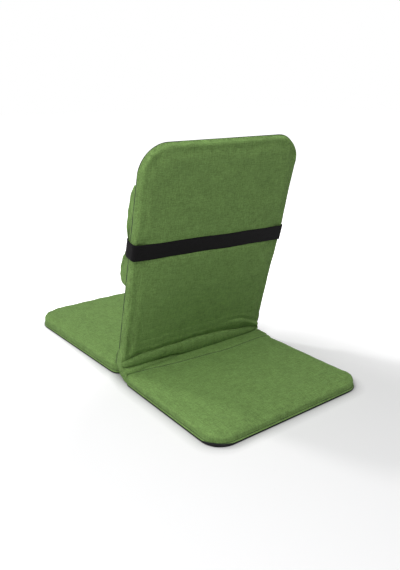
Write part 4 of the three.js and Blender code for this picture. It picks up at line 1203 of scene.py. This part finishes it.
FLOOR_AT = (0.13, 0.48, -0.0002)
FLOOR_HALF = 12.0
FADE_FROM, FADE_TO = 0.36, 1.0
# reach of the floor's painted contact shadow
PAINTED_SHADOW_REACH = 0.030
LAMP_TARGET = (0, 0.1, 0.1)


def studio_floor():
    """Pale floor that keeps the chair's shadow near it, with a painted contact shadow where the chair touches
    it, and fades to plain white farther off.
    """
    corners = [(FLOOR_HALF * i, FLOOR_HALF * j, 0) for i, j in ((-1, -1), (1, -1), (1, 1), (-1, 1))]
    mesh = bpy.data.meshes.new("studio_floor")
    mesh.from_pydata(corners, [], [(0, 1, 2, 3)])
    floor = bpy.data.objects.new("studio_floor", mesh)
    floor.location = FLOOR_AT
    scene.collection.objects.link(floor)
    material = bpy.data.materials.new("studio_floor")
    material.use_nodes = True
    tree = material.node_tree
    tree.nodes.clear()
    out = add_node(tree, "ShaderNodeOutputMaterial")
    seen = seen_by_camera(tree)
    bounce = add_node(tree, "ShaderNodeBsdfDiffuse", {"Color": (0.82, 0.81, 0.82, 1)})
    # paints a contact shadow: darkens the floor's colour a little where the chair touches it
    painted_contact_shadow = add_node(tree, "ShaderNodeAmbientOcclusion",
                       {"Distance": PAINTED_SHADOW_REACH, "Color": (0.94, 0.935, 0.94, 1)}).outputs
    shown = add_node(tree, "ShaderNodeBsdfDiffuse", links={"Color": painted_contact_shadow["Color"]})
    surface = add_node(tree, "ShaderNodeMixShader",
                       links={"Fac": seen, 1: bounce.outputs[0], 2: shown.outputs[0]})
    place = add_node(tree, "ShaderNodeTexCoord").outputs["Object"]
    distance = add_node(tree, "ShaderNodeVectorMath", links={0: place}, operation="LENGTH")
    far = add_node(tree, "ShaderNodeMapRange",
                   {"From Min": FADE_FROM, "From Max": FADE_TO, "To Min": 0.0, "To Max": 1.0},
                   {"Value": distance.outputs["Value"]}, interpolation_type="SMOOTHSTEP")
    # the same occlusion keeps the glow off near the chair, which deepens the painted contact shadow
    clear_of_painted_shadow = maths(tree, "POWER", painted_contact_shadow["AO"], 2.0)
    lit = maths(tree, "MULTIPLY", seen, maths(tree, "MULTIPLY", far.outputs["Result"], clear_of_painted_shadow))
    glow = add_node(tree, "ShaderNodeEmission", {"Color": (1, 1, 1, 1)}, {"Strength": lit})
    add = add_node(tree, "ShaderNodeAddShader", links={0: surface.outputs[0], 1: glow.outputs[0]})
    tree.links.new(add.outputs[0], out.inputs["Surface"])
    floor.data.materials.append(material)


studio_floor()

world = bpy.data.worlds.new("studio")
scene.world = world
world.use_nodes = True
tree = world.node_tree
tree.nodes.clear()
out = add_node(tree, "ShaderNodeOutputWorld")
ambient = add_node(tree, "ShaderNodeBackground", {"Color": (0.97, 0.98, 1.0, 1), "Strength": 0.18})
shown = add_node(tree, "ShaderNodeBackground", {"Color": (1, 1, 1, 1), "Strength": 1.0})
mix = add_node(tree, "ShaderNodeMixShader",
               links={"Fac": seen_by_camera(tree), 1: ambient.outputs[0], 2: shown.outputs[0]})
tree.links.new(mix.outputs[0], out.inputs["Surface"])


def area_light(name, position, side, power):
    """Square lamp that faces the middle of the chair."""
    data = bpy.data.lights.new(name, "AREA")
    data.shape = "RECTANGLE"
    data.size = side
    data.size_y = side
    data.energy = power
    lamp = bpy.data.objects.new(name, data)
    lamp.location = position
    direction = Vector(LAMP_TARGET) - Vector(position)
    lamp.rotation_euler = direction.to_track_quat("-Z", "Y").to_euler()
    scene.collection.objects.link(lamp)


area_light("key", (1.30, 0.85, 2.93), 2.6, 77)
area_light("fill", (2.27, 1.41, 1.94), 1.5, 18)
area_light("front", (0.97, -1.72, 2.55), 0.3, 22)

data = bpy.data.cameras.new("camera")
data.sensor_width = 36
data.sensor_fit = "AUTO"
data.lens = CAMERA_LENS
data.clip_start = 0.01
data.clip_end = 100
camera = bpy.data.objects.new("camera", data)
scene.collection.objects.link(camera)
forward = Vector((math.cos(CAMERA_PITCH) * math.cos(CAMERA_YAW),
                  math.cos(CAMERA_PITCH) * math.sin(CAMERA_YAW), math.sin(CAMERA_PITCH)))
camera.location = CAMERA_AT
camera.rotation_euler = forward.to_track_quat("-Z", "Y").to_euler()
scene.camera = camera
scene.view_settings.view_transform = "Standard"
